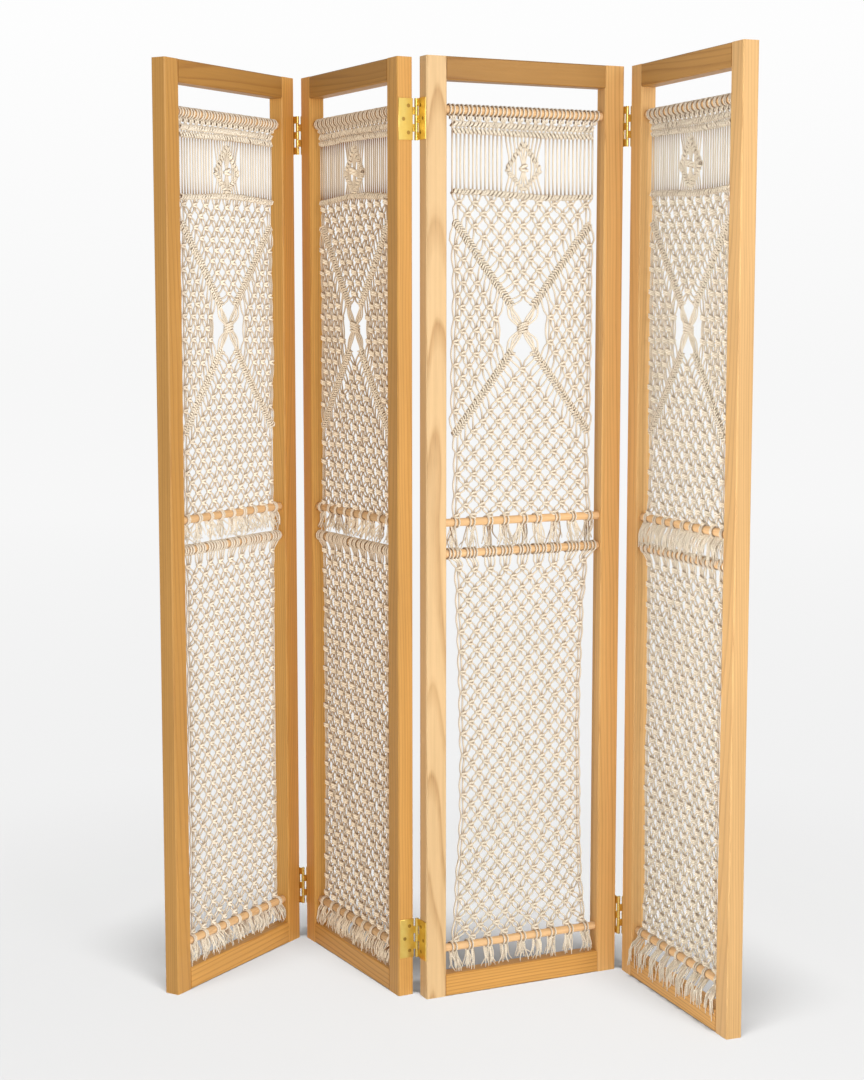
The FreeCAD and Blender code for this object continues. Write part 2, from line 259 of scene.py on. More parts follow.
class Grain(Enum):
    """Which way the fibres of a wooden piece run."""

    UPRIGHT = "upright"
    ACROSS = "across"


@dataclass(frozen=True)
class BoardLook:
    """How light a board is, how far it goes towards sapwood, and how strongly its rings show."""

    tone: float = 1.0
    pale: float = 0.0
    figure: float = 1.0


@dataclass(frozen=True)
class TimberFinish:
    """Oiled timber: growth rings cut through by the board, fibres and fine pores."""

    early: Colour
    late: Colour
    ring_width: float
    ring_depth: float
    roughness: float
    pith_spread: float
    sap_early: Colour = srgb(246, 218, 174)
    sap_late: Colour = srgb(214, 172, 116)
    pith_lean: float = 0.012
    wander: float = 18.0 * MM
    unevenness: float = 2.2
    ring_profile: tuple[tuple[float, float], ...] = (
        (0.0, 0.2), (0.08, 0.0), (0.62, 0.1), (0.92, 1.0), (1.0, 0.2))
    fibre_scale: float = 1500.0
    streak_scale: float = 140.0
    pore_scale: float = 1100.0
    relief: float = 0.25 * MM

    def material(self, name: str, centre: Vector, yaw: float, grain: Grain, seed: int,
                 look: BoardLook) -> bpy.types.Material:
        """Timber for one board.

        Args:
            name: The material's name.
            centre: Middle of the board.
            yaw: Turn of its panel about the vertical.
            grain: Which way its fibres run.
            seed: Sets its rings apart from those of the other boards.
            look: How it differs from the usual board.

        Returns:
            The finished material.
        """
        draw = np.random.default_rng(seed)
        early, late_wood = (tuple(np.array(own) * (1 - look.pale) + np.array(sap) * look.pale)
                            for own, sap in ((self.early, self.sap_early), (self.late, self.sap_late)))
        pith_x, pith_y = draw.uniform(-self.pith_spread, self.pith_spread, 2)
        pith_y += math.copysign(self.pith_spread / 2, pith_y)
        lean_x, lean_y = draw.normal(0.0, self.pith_lean, 2)
        shader = Shader.material(name)
        tip = math.pi / 2 if grain is Grain.ACROSS else 0.0
        place = {"Vector": shader.spot(), "Location": centre, "Rotation": (0.0, tip, yaw)}
        board = shader.node("ShaderNodeMapping", {"vector_type": "TEXTURE"}, place)
        side, depth, along = shader.split(board)
        wander = shader.drawn_noise(board, (9.0, 9.0, 1.6), 1.0, seed, 2.0) - 0.5
        x = side + along * float(lean_x) + float(pith_x)
        y = depth + along * float(lean_y) + float(pith_y)
        radius = (x * x + y * y) ** 0.5 + wander * self.wander
        uneven = shader.noise(shader.vector(radius), 48.0, seed, 1.0)
        rings = radius / self.ring_width + uneven * self.unevenness
        year = shader.noise(shader.vector(rings.apply("FLOOR")), 0.77, seed, 0.0)
        line = shader.ramp(rings.apply("FRACT"), self.ring_profile)
        fibre = shader.drawn_noise(board, (1.0, 1.0, 0.012), self.fibre_scale, seed, 2.0)
        streak = shader.drawn_noise(board, (1.0, 1.0, 0.02), self.streak_scale, seed + 3.0, 2.0)
        specks = shader.drawn_noise(board, (1.0, 1.0, 0.03), self.pore_scale, seed + 7.0, 0.0)
        pores = shader.ramp(specks, ((0.60, 0.0), (0.70, 1.0)))
        cloud = shader.drawn_noise(board, (6.0, 6.0, 2.0), 1.0, seed + 11.0, 1.0)
        late = line * (0.35 + year * 0.9) * (self.ring_depth * look.figure)
        body = shader.mix(late, early, late_wood)
        shade = look.tone * (0.68 + fibre * 0.16 + streak * 0.26 + cloud * 0.28 - pores * late * 0.22)
        height = fibre * 0.6 - pores * 0.8 - late * 0.3
        return shader.surface({
            "Base Color": shader.mix(1.0, body, shader.tint(shade, shade ** 1.12, shade ** 1.35), "MULTIPLY"),
            "Roughness": self.roughness + fibre * 0.14 - late * 0.06,
            "Specular IOR Level": 0.3,
            "Normal": shader.bump(height, self.relief, 0.55),
        })


@dataclass(frozen=True)
class CottonFinish:
    """Natural cotton cord of twisted plies, with painted shade and painted warm light."""

    light: Colour = srgb(252, 243, 225)
    # Darker colour of the painted shade in the grooves between plies
    groove_shade: Colour = srgb(220, 197, 164)
    # Dark brown of the painted shade in knots, at ridges, on fringes and between cords
    shade_colour: Colour = srgb(138, 100, 64)
    plies: int = 3
    ply_pitch: float = 4.2 * MM
    groove_depth: float = 0.45 * MM
    yarn_scale: float = 260.0
    cloud_scale: float = 14.0
    fuzz_scale: float = 1800.0
    # How much painted warm light lowers green and blue
    warm_green: float = 0.07
    warm_blue: float = 0.15

    def material(self, name: str, seed: float, shade_strength: float, painted_warmth: float) -> bpy.types.Material:
        """Cord whose plies follow the map along and round each strand.

        Args:
            name: The material's name.
            seed: Sets its fibres apart from the other cords.
            shade_strength: How strong its painted shade is, where knots and neighbouring cords would shade
                the cord.
            painted_warmth: How much painted warm light it gets, with 0 for none.

        Returns:
            The finished material.
        """
        shader = Shader.material(name)
        along, around, _ = shader.split(shader.node("ShaderNodeUVMap", {"uv_map": "cord"}, {}))
        spot = shader.spot()
        phase = around * float(self.plies) + along / self.ply_pitch
        ply = (phase * math.pi).apply("SINE").apply("ABSOLUTE")
        fibre = shader.noise(shader.vector(along * self.yarn_scale, phase * 7.0, 0.0), 1.0, seed, 3.0)
        cloud = shader.noise(spot, self.cloud_scale, seed + 5.0, 2.0)
        fuzz = shader.noise(spot, self.fuzz_scale, seed + 9.0, 1.0)
        # Painted shade: the grooves between the plies are mixed towards the darker colour
        lit = shader.ramp(ply, ((0.0, 0.0), (0.55, 0.85), (1.0, 1.0))) * (0.86 + fibre * 0.28)
        # Painted shade: each point's shade attribute mixes the cord towards the dark brown, in knots, where
        # cords meet and on the sides that face other cords
        crevice = shader.node("ShaderNodeAttribute", {"attribute_name": "crevice"}, {}, "Fac")
        body = shader.mix(crevice * shade_strength, shader.mix(lit, self.groove_shade, self.light), self.shade_colour)
        shade = 0.88 + cloud * 0.16 + fuzz * 0.06
        # Painted warm light: green and blue are lowered, standing in for light bounced off the wood
        green = shade ** 1.06 * (1.0 - self.warm_green * painted_warmth)
        blue = shade ** 1.2 * (1.0 - self.warm_blue * painted_warmth)
        return shader.surface({
            "Base Color": shader.mix(1.0, body, shader.tint(shade, green, blue), "MULTIPLY"),
            "Roughness": 0.86 + fuzz * 0.1,
            "Specular IOR Level": 0.2,
            "Normal": shader.bump(ply + fibre * 0.25 + fuzz * 0.15, self.groove_depth, 0.8),
        })


@dataclass(frozen=True)
class BrassFinish:
    """Polished brass with rolling marks and faint smudges."""

    bright: Colour = srgb(246, 222, 134)
    warm: Colour = srgb(214, 172, 76)
    roughness: float = 0.26
    smudge_scale: float = 60.0
    mark_scale: float = 2600.0
    mark_depth: float = 0.02 * MM

    def material(self, name: str) -> bpy.types.Material:
        """Brass for hinges and screws.

        Args:
            name: The material's name.

        Returns:
            The finished material.
        """
        shader = Shader.material(name)
        spot = shader.spot()
        smudge = shader.noise(spot, self.smudge_scale, 1.0, 4.0)
        marks = shader.drawn_noise(spot, (1.0, 1.0, 0.03), self.mark_scale, 2.0, 1.0)
        return shader.surface({
            "Base Color": shader.mix(smudge, self.bright, self.warm),
            "Metallic": 1.0,
            "Roughness": self.roughness - 0.06 + smudge * 0.16 + marks * 0.06,
            "Normal": shader.bump(marks, self.mark_depth, 0.06),
        })


FRAME_TIMBER = TimberFinish(early=srgb(228, 170, 88), late=srgb(170, 104, 42), ring_width=4.8 * MM,
                            ring_depth=0.5, roughness=0.42, pith_spread=0.10)
DOWEL_TIMBER = TimberFinish(early=srgb(234, 192, 140), late=srgb(200, 150, 100), ring_width=1.9 * MM,
                            ring_depth=0.5, roughness=0.48, pith_spread=0.03)
PLATE_BRASS = BrassFinish()
SCREW_BRASS = BrassFinish(bright=srgb(206, 170, 92), warm=srgb(150, 112, 52), roughness=0.3)
GRAIN_SHIFT = 1707
BOARD_LOOKS = {
    1: {"left_stile": BoardLook(0.72, 0.04, 0.8), "right_stile": BoardLook(0.89, 0.0, 0.8),
        "bottom_rail": BoardLook(0.86, 0.0, 1.1), "top_rail": BoardLook(0.56, 0.0, 1.0)},
    2: {"left_stile": BoardLook(1.02, 0.0, 0.9), "right_stile": BoardLook(0.81, 0.03, 0.8),
        "bottom_rail": BoardLook(0.88, 0.0, 1.3), "top_rail": BoardLook(0.62, 0.0, 1.0)},
    3: {"left_stile": BoardLook(0.82, 0.64, 1.6), "right_stile": BoardLook(0.93, 0.18, 0.9),
        "bottom_rail": BoardLook(0.82, 0.0, 1.3), "top_rail": BoardLook(0.51, 0.1, 1.2)},
    4: {"left_stile": BoardLook(0.90, 0.25, 0.8), "right_stile": BoardLook(0.77, 0.36, 1.0),
        "bottom_rail": BoardLook(0.9, 0.1, 1.5), "top_rail": BoardLook(0.6, 0.1, 1.2)},
}


class Dowel(Enum):
    """The four dowels of a panel, from the top down."""

    TOP = "top"
    UPPER_MID = "upper_mid"
    LOWER_MID = "lower_mid"
    BOTTOM = "bottom"


def middle_of(node: str) -> Vector:
    """Middle of a node's box."""
    low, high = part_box(node)
    return (low + high) / 2


@dataclass(frozen=True)
class PanelPlace:
    """Where one panel stands, read from its stiles in the frame."""

    index: int
    centre: Vector
    yaw: float

    @classmethod
    def read(cls, index: int) -> "PanelPlace":
        """Place of a panel from the middles of its two stiles.

        Args:
            index: The panel's number.

        Returns:
            Its place.
        """
        left, right = (middle_of(f"panel_{index}_{side}_stile") for side in ("left", "right"))
        run = right - left
        centre = (left + right) / 2
        return cls(index, Vector((centre.x, centre.y, 0.0)), math.atan2(run.y, run.x))

    def matrix(self) -> Matrix:
        """Turn and shift from the panel's own frame to the standing screen's."""
        return Matrix.Translation(self.centre) @ Matrix.Rotation(self.yaw, 4, "Z")

    def height(self, dowel: Dowel) -> float:
        """Height of a dowel's middle."""
        return middle_of(f"panel_{self.index}_{dowel.value}_dowel").z


@dataclass(frozen=True)
class Stop:
    """A place that a cord passes, its heading there if a knot sets one, the run before it and the painted
    shade it gets there.
    """

    spot: np.ndarray
    heading: Optional[np.ndarray] = None
    pieces: int = 4
    crevice: float = 0.0


def smooth_route(stops: Sequence[Stop], pull: float) -> tuple[np.ndarray, np.ndarray]:
    """Smooth line through stops.

    Args:
        stops: The stops in order.
        pull: How strongly a set heading bows the line.

    Returns:
        Points along the line, and the painted shade at each.
    """
    points = np.array([stop.spot for stop in stops])
    runs = np.diff(points, axis=0)
    spans = np.linalg.norm(runs, axis=1)[:, None]
    slopes = runs / spans
    middle = (slopes[:-1] * spans[1:] + slopes[1:] * spans[:-1]) / (spans[:-1] + spans[1:])
    tangents = np.vstack([slopes[:1], middle, slopes[-1:]])
    for index, stop in enumerate(stops):
        if stop.heading is not None:
            tangents[index] = pull * stop.heading
    line, shade_levels = [points[:1]], [np.array([[stops[0].crevice]])]
    for index, stop in enumerate(stops[1:]):
        t = (np.arange(1, stop.pieces + 1) / stop.pieces)[:, None]
        start, end, span = points[index], points[index + 1], spans[index]
        rise = t * t * (3 - 2 * t)
        out = t * (1 - t) ** 2 * span
        back = t * t * (1 - t) * span
        line.append(start + (end - start) * rise + tangents[index] * out - tangents[index + 1] * back)
        # Painted shade fades fast away from the stops that carry it
        shade_levels.append(stops[index].crevice * (1 - t) ** 3 + stop.crevice * t ** 3)
    return np.vstack(line), np.vstack(shade_levels)[:, 0]


def round_angles(count: int) -> np.ndarray:
    """Even angles of a full turn."""
    return FULL_TURN * np.arange(count) / count


def tube_rings(path: np.ndarray, radius: np.ndarray, sides: int, up: np.ndarray, closed: bool) -> np.ndarray:
    """Rings of points round a path.

    Args:
        path: Points along the middle of the tube.
        radius: Radius at each point.
        sides: Points in each ring.
        up: A direction that the path never runs along.
        closed: Whether the path joins up with its start.

    Returns:
        The rings, one after another.
    """
    if closed:
        ahead = np.roll(path, -1, axis=0) - np.roll(path, 1, axis=0)
    else:
        ahead = np.gradient(path, axis=0)
    ahead /= np.linalg.norm(ahead, axis=1)[:, None]
    first = up - ahead * (ahead @ up)[:, None]
    first /= np.linalg.norm(first, axis=1)[:, None]
    second = np.cross(ahead, first)
    angles = round_angles(sides)
    reach = first[:, None] * np.cos(angles)[:, None] + second[:, None] * np.sin(angles)[:, None]
    return (path[:, None] + reach * radius[:, None, None]).reshape(-1, 3)


@dataclass
class Strand:
    """Points, faces, cord map and painted shade of one tube or stamp."""

    points: np.ndarray
    quads: np.ndarray
    maps: np.ndarray
    crevice: np.ndarray
    caps: list[list[int]] = field(default_factory=list)
    cap_maps: list[list[tuple[float, float]]] = field(default_factory=list)

    @classmethod
    def tube(cls, path: np.ndarray, radius: Union[float, np.ndarray], sides: int, up: np.ndarray,
             closed: bool = False, start: float = 0.0, crevice: Union[float, np.ndarray] = 0.0,
             edge: float = 0.0) -> "Strand":
        """Round tube along a path, with flat ends unless it is closed.

        Args:
            path: Points along the middle of the tube.
            radius: Radius, the same all along or one for each point.
            sides: Sides of the tube.
            up: A direction that the path never runs along.
            closed: Whether the path joins up with its start.
            start: Length already on the cord at the first point.
            crevice: Painted shade, the same all along or one for each point.
            edge: How much painted shade is added on the sides that face its neighbours.

        Returns:
            The tube.
        """
        count = len(path)
        radii, shade_levels = (np.broadcast_to(np.asarray(value, float), (count,)) for value in (radius, crevice))
        points = tube_rings(path, radii, sides, up, closed)
        loop = np.vstack([path, path[:1]]) if closed else path
        lengths = start + np.concatenate([[0.0], np.cumsum(np.linalg.norm(np.diff(loop, axis=0), axis=1))])
        ring, side = np.meshgrid(np.arange(len(loop) - 1), np.arange(sides), indexing="ij")
        ring, side = ring.ravel(), side.ravel()
        following, beside = (ring + 1) % count, (side + 1) % sides
        quads = np.stack([ring * sides + side, ring * sides + beside,
                          following * sides + beside, following * sides + side], axis=1)
        low, high = lengths[ring], lengths[ring + 1]
        left, right = side / sides, (side + 1) / sides
        maps = np.stack([np.stack([low, left], 1), np.stack([low, right], 1),
                         np.stack([high, right], 1), np.stack([high, left], 1)], axis=1)
        # Painted shade on the two sides that face neighbouring cords, none on the front and back
        edges = edge * np.abs(np.sin(round_angles(sides)))
        strand = cls(points, quads, maps, (shade_levels[:, None] + edges).ravel())
        if not closed:
            last = (count - 1) * sides
            strand.caps = [list(range(sides - 1, -1, -1)), list(range(last, last + sides))]
            strand.cap_maps = [[(float(lengths[end]), s / sides) for s in range(sides)] for end in (0, -1)]
        return strand

    @classmethod
    def joined(cls, strands: Sequence["Strand"]) -> "Strand":
        """Several closed strands as one, to stamp again and again.

        Args:
            strands: The strands.

        Returns:
            All of them as one.
        """
        starts = np.cumsum([0] + [len(strand.points) for strand in strands])
        return cls(
            np.vstack([strand.points for strand in strands]),
            np.vstack([strand.quads + start for strand, start in zip(strands, starts)]),
            np.vstack([strand.maps for strand in strands]),
            np.concatenate([strand.crevice for strand in strands]),
        )

    def shaded_inside(self, reach: np.ndarray, start: float) -> "Strand":
        """Copy with painted shade on its inner side, starting where a reach falls below a start and full half
        a reach further in.
        """
        return replace(self, crevice=np.clip((start - reach) / 0.5, 0.0, 1.0))

    def placed(self, turn: np.ndarray, spot: np.ndarray, slide: float) -> "Strand":
        """Copy turned and moved into place, with its map slid along the cord."""
        return replace(self, points=self.points @ turn.T + spot, maps=self.maps + np.array([slide, 0.0]))


class Sheaf:
    """Strands gathered into one mesh."""

    def __init__(self) -> None:
        """Start with no strands."""
        self.strands: list[Strand] = []

    def add(self, strand: Strand) -> None:
        """Put one more strand in the sheaf."""
        self.strands.append(strand)

    def build(self, name: str, place: Matrix) -> bpy.types.Object:
        """Make the sheaf an object.

        Args:
            name: The piece's name.
            place: Turn and shift into the standing screen.

        Returns:
            The object, at the origin with its place in its mesh.
        """
        starts = np.cumsum([0] + [len(strand.points) for strand in self.strands])
        whole = list(zip(self.strands, starts))
        points = np.vstack([strand.points for strand in self.strands])
        faces = np.vstack([strand.quads + start for strand, start in whole]).tolist()
        maps = [np.vstack([strand.maps.reshape(-1, 2) for strand in self.strands])]
        for strand, start in whole:
            for cap, cap_map in zip(strand.caps, strand.cap_maps):
                faces.append([int(start) + corner for corner in cap])
                maps.append(np.array(cap_map))
        mesh = bpy.data.meshes.new(name)
        mesh.from_pydata(points.tolist(), [], faces)
        # Painted shade of each point, which the cotton mixes towards a dark brown
        shade_levels = np.concatenate([strand.crevice for strand in self.strands]).astype(np.float32)
        mesh.attributes.new("crevice", "FLOAT", "POINT").data.foreach_set("value", shade_levels)
        mesh.uv_layers.new(name="cord")
        mesh.uv_layers["cord"].data.foreach_set("uv", np.vstack(maps).astype(np.float32).ravel())
        mesh.transform(place)
        mesh.shade_smooth()
        mesh.update()
        piece = bpy.data.objects.new(name, mesh)
        bpy.context.scene.collection.objects.link(piece)
        return piece


@dataclass
class KnotRow:
    """A row of square knots, and the first cord of its first knot."""

    first_cord: int
    knots: dict[int, np.ndarray]


@dataclass(frozen=True)
class Fringe:
    """How the cord ends of each group hang below a dowel, and how much painted shade they get."""

    length: float
    strands: int
    spread: float
    front: float
    curl: float
    lean: float
    root_run: float
    crevice: float


@dataclass(frozen=True)
class Handwork:
    """How the hand work of one panel differs from that of the others, and how much painted shade and painted
    warm light its nets get.
    """

    middle: Fringe
    bottom: Fringe
    # Strength of each panel's painted shade, extra painted shade on the sides of its cords, and painted warm
    # light on its cotton
    shade_strength: float
    side_shade: float
    painted_warmth: float
    knot_tilts: tuple[float, float]
    knot_turn: float
    knot_swell: float
    loop_pull: float
    loop_gap: float
    loop_width: float
    ring_gap: float
    ring_width: float
    waist_draw: float


HANDWORK = {
    1: Handwork(
        middle=Fringe(length=34 * MM, strands=15, spread=18 * MM, front=-3 * MM, curl=9.0 * MM, lean=0.0,
                      root_run=13 * MM, crevice=0.2),
        bottom=Fringe(length=31 * MM, strands=22, spread=8 * MM, front=-9 * MM, curl=4.5 * MM, lean=0.0,
                      root_run=17 * MM, crevice=0.36),
        shade_strength=0.9, side_shade=0.34, painted_warmth=0.0, knot_tilts=(1.6 * MM, -1.6 * MM), knot_turn=0.8,
        knot_swell=1.0, loop_pull=0.6 * MM, loop_gap=8.3 * MM, loop_width=1.6, ring_gap=2.5 * MM,
        ring_width=1.25, waist_draw=4 * MM),
    2: Handwork(
        middle=Fringe(length=36 * MM, strands=15, spread=16 * MM, front=1 * MM, curl=9.0 * MM, lean=-13 * MM,
                      root_run=11 * MM, crevice=0.3),
        bottom=Fringe(length=34 * MM, strands=22, spread=8 * MM, front=-9 * MM, curl=4.5 * MM, lean=0.0,
                      root_run=17 * MM, crevice=0.4),
        shade_strength=1.0, side_shade=0.46, painted_warmth=1.0, knot_tilts=(2.4 * MM, 2.4 * MM), knot_turn=2.15,
        knot_swell=1.3, loop_pull=0.8 * MM, loop_gap=8.3 * MM, loop_width=1.6, ring_gap=2.5 * MM,
        ring_width=1.25, waist_draw=4 * MM),
    3: Handwork(
        middle=Fringe(length=48 * MM, strands=13, spread=9 * MM, front=0.0, curl=5.5 * MM, lean=2 * MM,
                      root_run=10 * MM, crevice=0.35),
        bottom=Fringe(length=36 * MM, strands=14, spread=6 * MM, front=-6 * MM, curl=3.5 * MM, lean=0.0,
                      root_run=9 * MM, crevice=0.18),
        shade_strength=0.95, side_shade=0.13, painted_warmth=0.0, knot_tilts=(1.6 * MM, -1.6 * MM), knot_turn=0.8,
        knot_swell=1.0, loop_pull=0.4 * MM, loop_gap=7.3 * MM, loop_width=1.0, ring_gap=3.8 * MM,
        ring_width=1.0, waist_draw=17 * MM),
    4: Handwork(
        middle=Fringe(length=43 * MM, strands=17, spread=3.5 * MM, front=-12 * MM, curl=2.2 * MM, lean=0.0,
                      root_run=18 * MM, crevice=0.03),
        bottom=Fringe(length=50 * MM, strands=13, spread=6 * MM, front=-20 * MM, curl=2.6 * MM, lean=0.0,
                      root_run=14 * MM, crevice=0.06),
        shade_strength=0.78, side_shade=0.13, painted_warmth=0.1, knot_tilts=(2.4 * MM, 2.4 * MM), knot_turn=2.15,
        knot_swell=1.3, loop_pull=1.8 * MM, loop_gap=8.4 * MM, loop_width=1.0, ring_gap=2.9 * MM,
        ring_width=1.1, waist_draw=5 * MM),
}


@dataclass(frozen=True)
class HitchStyle:
    """How thick a row of hitches is, how its two turns lie for each cord, and how wide each turn is."""

    size: float
    pair: float
    width: float


class Hitches(Enum):
    """The kinds of rows of hitches in a net."""

    RIDGE = HitchStyle(size=1.0, pair=1.35 * MM, width=1.0)
    DIAMOND = HitchStyle(size=0.92, pair=1.45 * MM, width=1.0)
    ARM = HitchStyle(size=0.84, pair=2.65 * MM, width=1.25)


@dataclass(frozen=True)
class KnotPath:
    """How a cord goes through a knot: its place at both ends, how much painted shade it gets there and how it
    heads.
    """

    step: float
    depth: float
    reach: float
    crevice: float
    across: float
    down: float


@dataclass
class Net:
    """A net of knotted cord between two dowels of a panel, and the craft that it shares."""

    place: PanelPlace
    cords: int = 36
    knot_cords: int = 4
    cord_radius: float = 1.75 * MM
    cord_sides: int = 6
    turn_sides: int = 5
    knot_points: int = 9
    hitch_points: int = 6
    loop_points: int = 14
    # Reach within which a turn gets painted shade on its inner side, as a share of its size
    knot_shade_reach: float = 1.36
    hitch_shade_reach: float = 1.3
    loop_shade_reach: float = 1.24
    # Square knots
    knot_half_width: float = 4.7 * MM
    knot_half_depth: float = 3.5 * MM
    knot_rise: float = 2.1 * MM
    knot_cord: float = 2.45 * MM
    knot_angle_spread: float = 0.12
    knot_size_spread: float = 0.05
    core_cord: KnotPath = KnotPath(step=1.9 * MM, depth=-0.6 * MM, reach=6.0 * MM, crevice=0.45,
                                   across=0.0, down=1.0)
    side_cord: KnotPath = KnotPath(step=6.0 * MM, depth=0.4 * MM, reach=2.6 * MM, crevice=0.2,
                                   across=0.74, down=0.67)
    # Cords between the knots
    bow: float = 1.3
    eased_heading: Triple = (0.32, 1.0, 1.4)
    edge_inset: float = 11.0 * MM
    group_pitch: float = 36.0 * MM
    group_jitter: float = 2.0 * MM
    end_pitch: float = 3.3 * MM
    opening: float = 161.0 * MM
    end_half_width: float = 149.0 * MM
    # Loops and wraps round a dowel, with the cords' places there as shares of a loop's radius
    dowel_radius: float = 7.5 * MM
    loop_radius: float = 9.5 * MM
    loop_front: float = -0.4
    loop_below: float = 0.9
    end_behind: float = 0.3
    end_above: float = 0.95
    wrap_tip: float = 0.4
    wrap_lean_spread: float = 0.3
    wrap_size_spread: float = 0.012
    ring_lean: float = 0.16
    ring_jitter: float = 0.35 * MM
    # Half hitches and the cord that carries them
    hitch_radius: float = 4.2 * MM
    hitch_cord: float = 2.0 * MM
    hitch_jitter: float = 0.3 * MM
    hitch_tip: float = 0.35
    hitch_lean_spread: float = 0.15
    hitch_size_spread: float = 0.06
    # Painted shade on a carrying cord inside its hitches
    carrier_shade: float = 0.5
    carrier_waves: float = 5.2
    carrier_points: int = 24
    # Cord ends below a dowel
    end_radius: float = 1.5 * MM
    end_sides: int = 4
    end_points: int = 8
    end_jitter: float = 2.4 * MM
    end_length_spread: float = 0.16
    end_lean_share: float = 0.5
    end_fan: float = 1.2
    end_waves: float = 5.0
    end_phases: float = 6.3
    end_root: float = 0.8
    end_taper: float = 0.35
    # How much the painted shade on a cord end fades towards its tip
    end_paling: float = 0.75
    # How far the knots stray from their even places
    jitter: float = 0.8 * MM
    depth_share: float = 0.7
    row_wave: float = 1.8 * MM
    row_lean: float = 1.08 * MM
    wave_lengths: Triple = (90.0 * MM, 130.0 * MM, 70.0 * MM)
    map_slide: float = 0.1
    seed: int = 0

    def __post_init__(self) -> None:
        """Set up the sheaf, the draws and the repeated knots."""
        self.hand = HANDWORK[self.place.index]
        self.sheaf = Sheaf()
        self.draw = np.random.default_rng(self.seed)
        self.wave = self.draw.uniform(0.0, FULL_TURN, 3)
        self.group_count = self.cords // self.knot_cords
        self.middle_knot = (self.group_count - 1) / 2
        self.square_knot = self.make_square_knot()
        self.hitch = self.round_turn(self.hitch_radius, self.hitch_cord, self.hitch_points, self.turn_sides,
                                     self.hitch_shade_reach)
        self.loop = self.round_turn(self.loop_radius, self.cord_radius, self.loop_points, self.cord_sides,
                                    self.loop_shade_reach)

    def level_turn(self, half_width: float, half_depth: float, height: float, tilt: float, count: int,
                   radius: float) -> Strand:
        """Turn of cord that lies level round a bundle.

        Args:
            half_width: Half the turn's width.
            half_depth: Half its depth.
            height: Height of its middle.
            tilt: Rise of its right side, and fall of its left.
            count: Points round it.
            radius: Radius of the cord.

        Returns:
            The turn as a closed strand.
        """
        angles = round_angles(count)
        path = np.stack([half_width * np.cos(angles), half_depth * np.sin(angles),
                         height + tilt * np.cos(angles + self.hand.knot_turn)], axis=1)
        turn = Strand.tube(path, radius, self.turn_sides, UP, closed=True)
        # Painted shade on the side of the turn that lies against the cords it binds
        reach = np.hypot(turn.points[:, 0] / half_width, turn.points[:, 1] / half_depth)
        return turn.shaded_inside(reach, self.knot_shade_reach)

    def round_turn(self, radius: float, cord: float, count: int, sides: int, sink: float) -> Strand:
        """Turn of cord round a bar or a carrying cord that runs across.

        Args:
            radius: Radius of the turn.
            cord: Radius of the cord.
            count: Points round the turn.
            sides: Sides of the cord.
            sink: Reach, in radii of the turn, within which the cord gets painted shade on its inner side.

        Returns:
            The turn as a closed strand.
        """
        angles = round_angles(count)
        path = np.stack([0 * angles, radius * np.sin(angles), radius * np.cos(angles)], axis=1)
        turn = Strand.tube(path, cord, sides, ACROSS, closed=True)
        # Painted shade on the side of the turn that lies against what it goes round
        return turn.shaded_inside(np.hypot(turn.points[:, 1], turn.points[:, 2]) / radius, sink)

    def make_square_knot(self) -> Strand:
        """Make the knot that is tied all over the net.

        Returns:
            Two turns, one over the other, that tilt as a drawn square knot does.
        """
        swell = self.hand.knot_swell
        size = (self.knot_half_width, self.knot_half_depth * swell)
        cord = self.knot_cord * swell ** 0.5
        return Strand.joined([self.level_turn(*size, way * self.knot_rise, tilt, self.knot_points, cord)
                              for way, tilt in zip((1, -1), self.hand.knot_tilts)])

    def half_width(self, height: float) -> float:
        """Half the net's width at a height."""
        raise NotImplementedError

    def slide(self) -> float:
        """How far the map of a repeated knot slides along its cord."""
        return self.draw.uniform(0.0, self.map_slide)

    def shaken(self, x: float, z: float) -> np.ndarray:
        """Place of a knot, off its even place as hand work is.

        Args:
            x: Its even place across.
            z: Its even height.

        Returns:
            Where it is tied.
        """
        across, up, leaning = self.wave_lengths
        wave = self.row_wave * math.sin(x / across + z / up + self.wave[0])
        lean = self.row_lean * math.sin(z / leaning + self.wave[1])
        dx, dy, dz = self.draw.normal(0.0, self.jitter, 3)
        return np.array([x + dx + lean, self.depth_share * dy, z + dz + wave])

    def row(self, height: float, wide: bool, first: int, last: int) -> KnotRow:
        """Tie a row of knots.

        Args:
            height: Its height.
            wide: Whether it is in line with the wide rows or with the narrow ones.
            first: Number of its first knot.
            last: Number of its last knot.

        Returns:
            The row.
        """
        pitch = (self.half_width(height) - self.edge_inset) / self.middle_knot
        shift = self.middle_knot if wide else self.middle_knot - 0.5
        knots = {k: self.shaken((k - shift) * pitch, height) for k in range(first, last + 1)}
        for spot in knots.values():
            self.tie(spot)
        return KnotRow(0 if wide else self.knot_cords // 2, knots)

    def tie(self, spot: np.ndarray, size: float = 1.0) -> None:
        """Put a square knot at a place.

        Args:
            spot: Middle of the knot.
            size: Its size, with 1 for the usual knot.
        """
        angle = self.draw.normal(0.0, self.knot_angle_spread)
        scale = size * self.draw.normal(1.0, self.knot_size_spread)
        turn = scale * np.array([[math.cos(angle), 0, math.sin(angle)], [0, 1, 0],
                                 [-math.sin(angle), 0, math.cos(angle)]])
        self.sheaf.add(self.square_knot.placed(turn, spot, self.slide()))

    def through(self, row: KnotRow, cord: int) -> list[Stop]:
        """Where a cord enters and leaves its knot in a row, or nothing if it has none there."""
        knot, order = divmod(cord - row.first_cord, self.knot_cords)
        return self.in_knot(row.knots[knot], order) if knot in row.knots else []

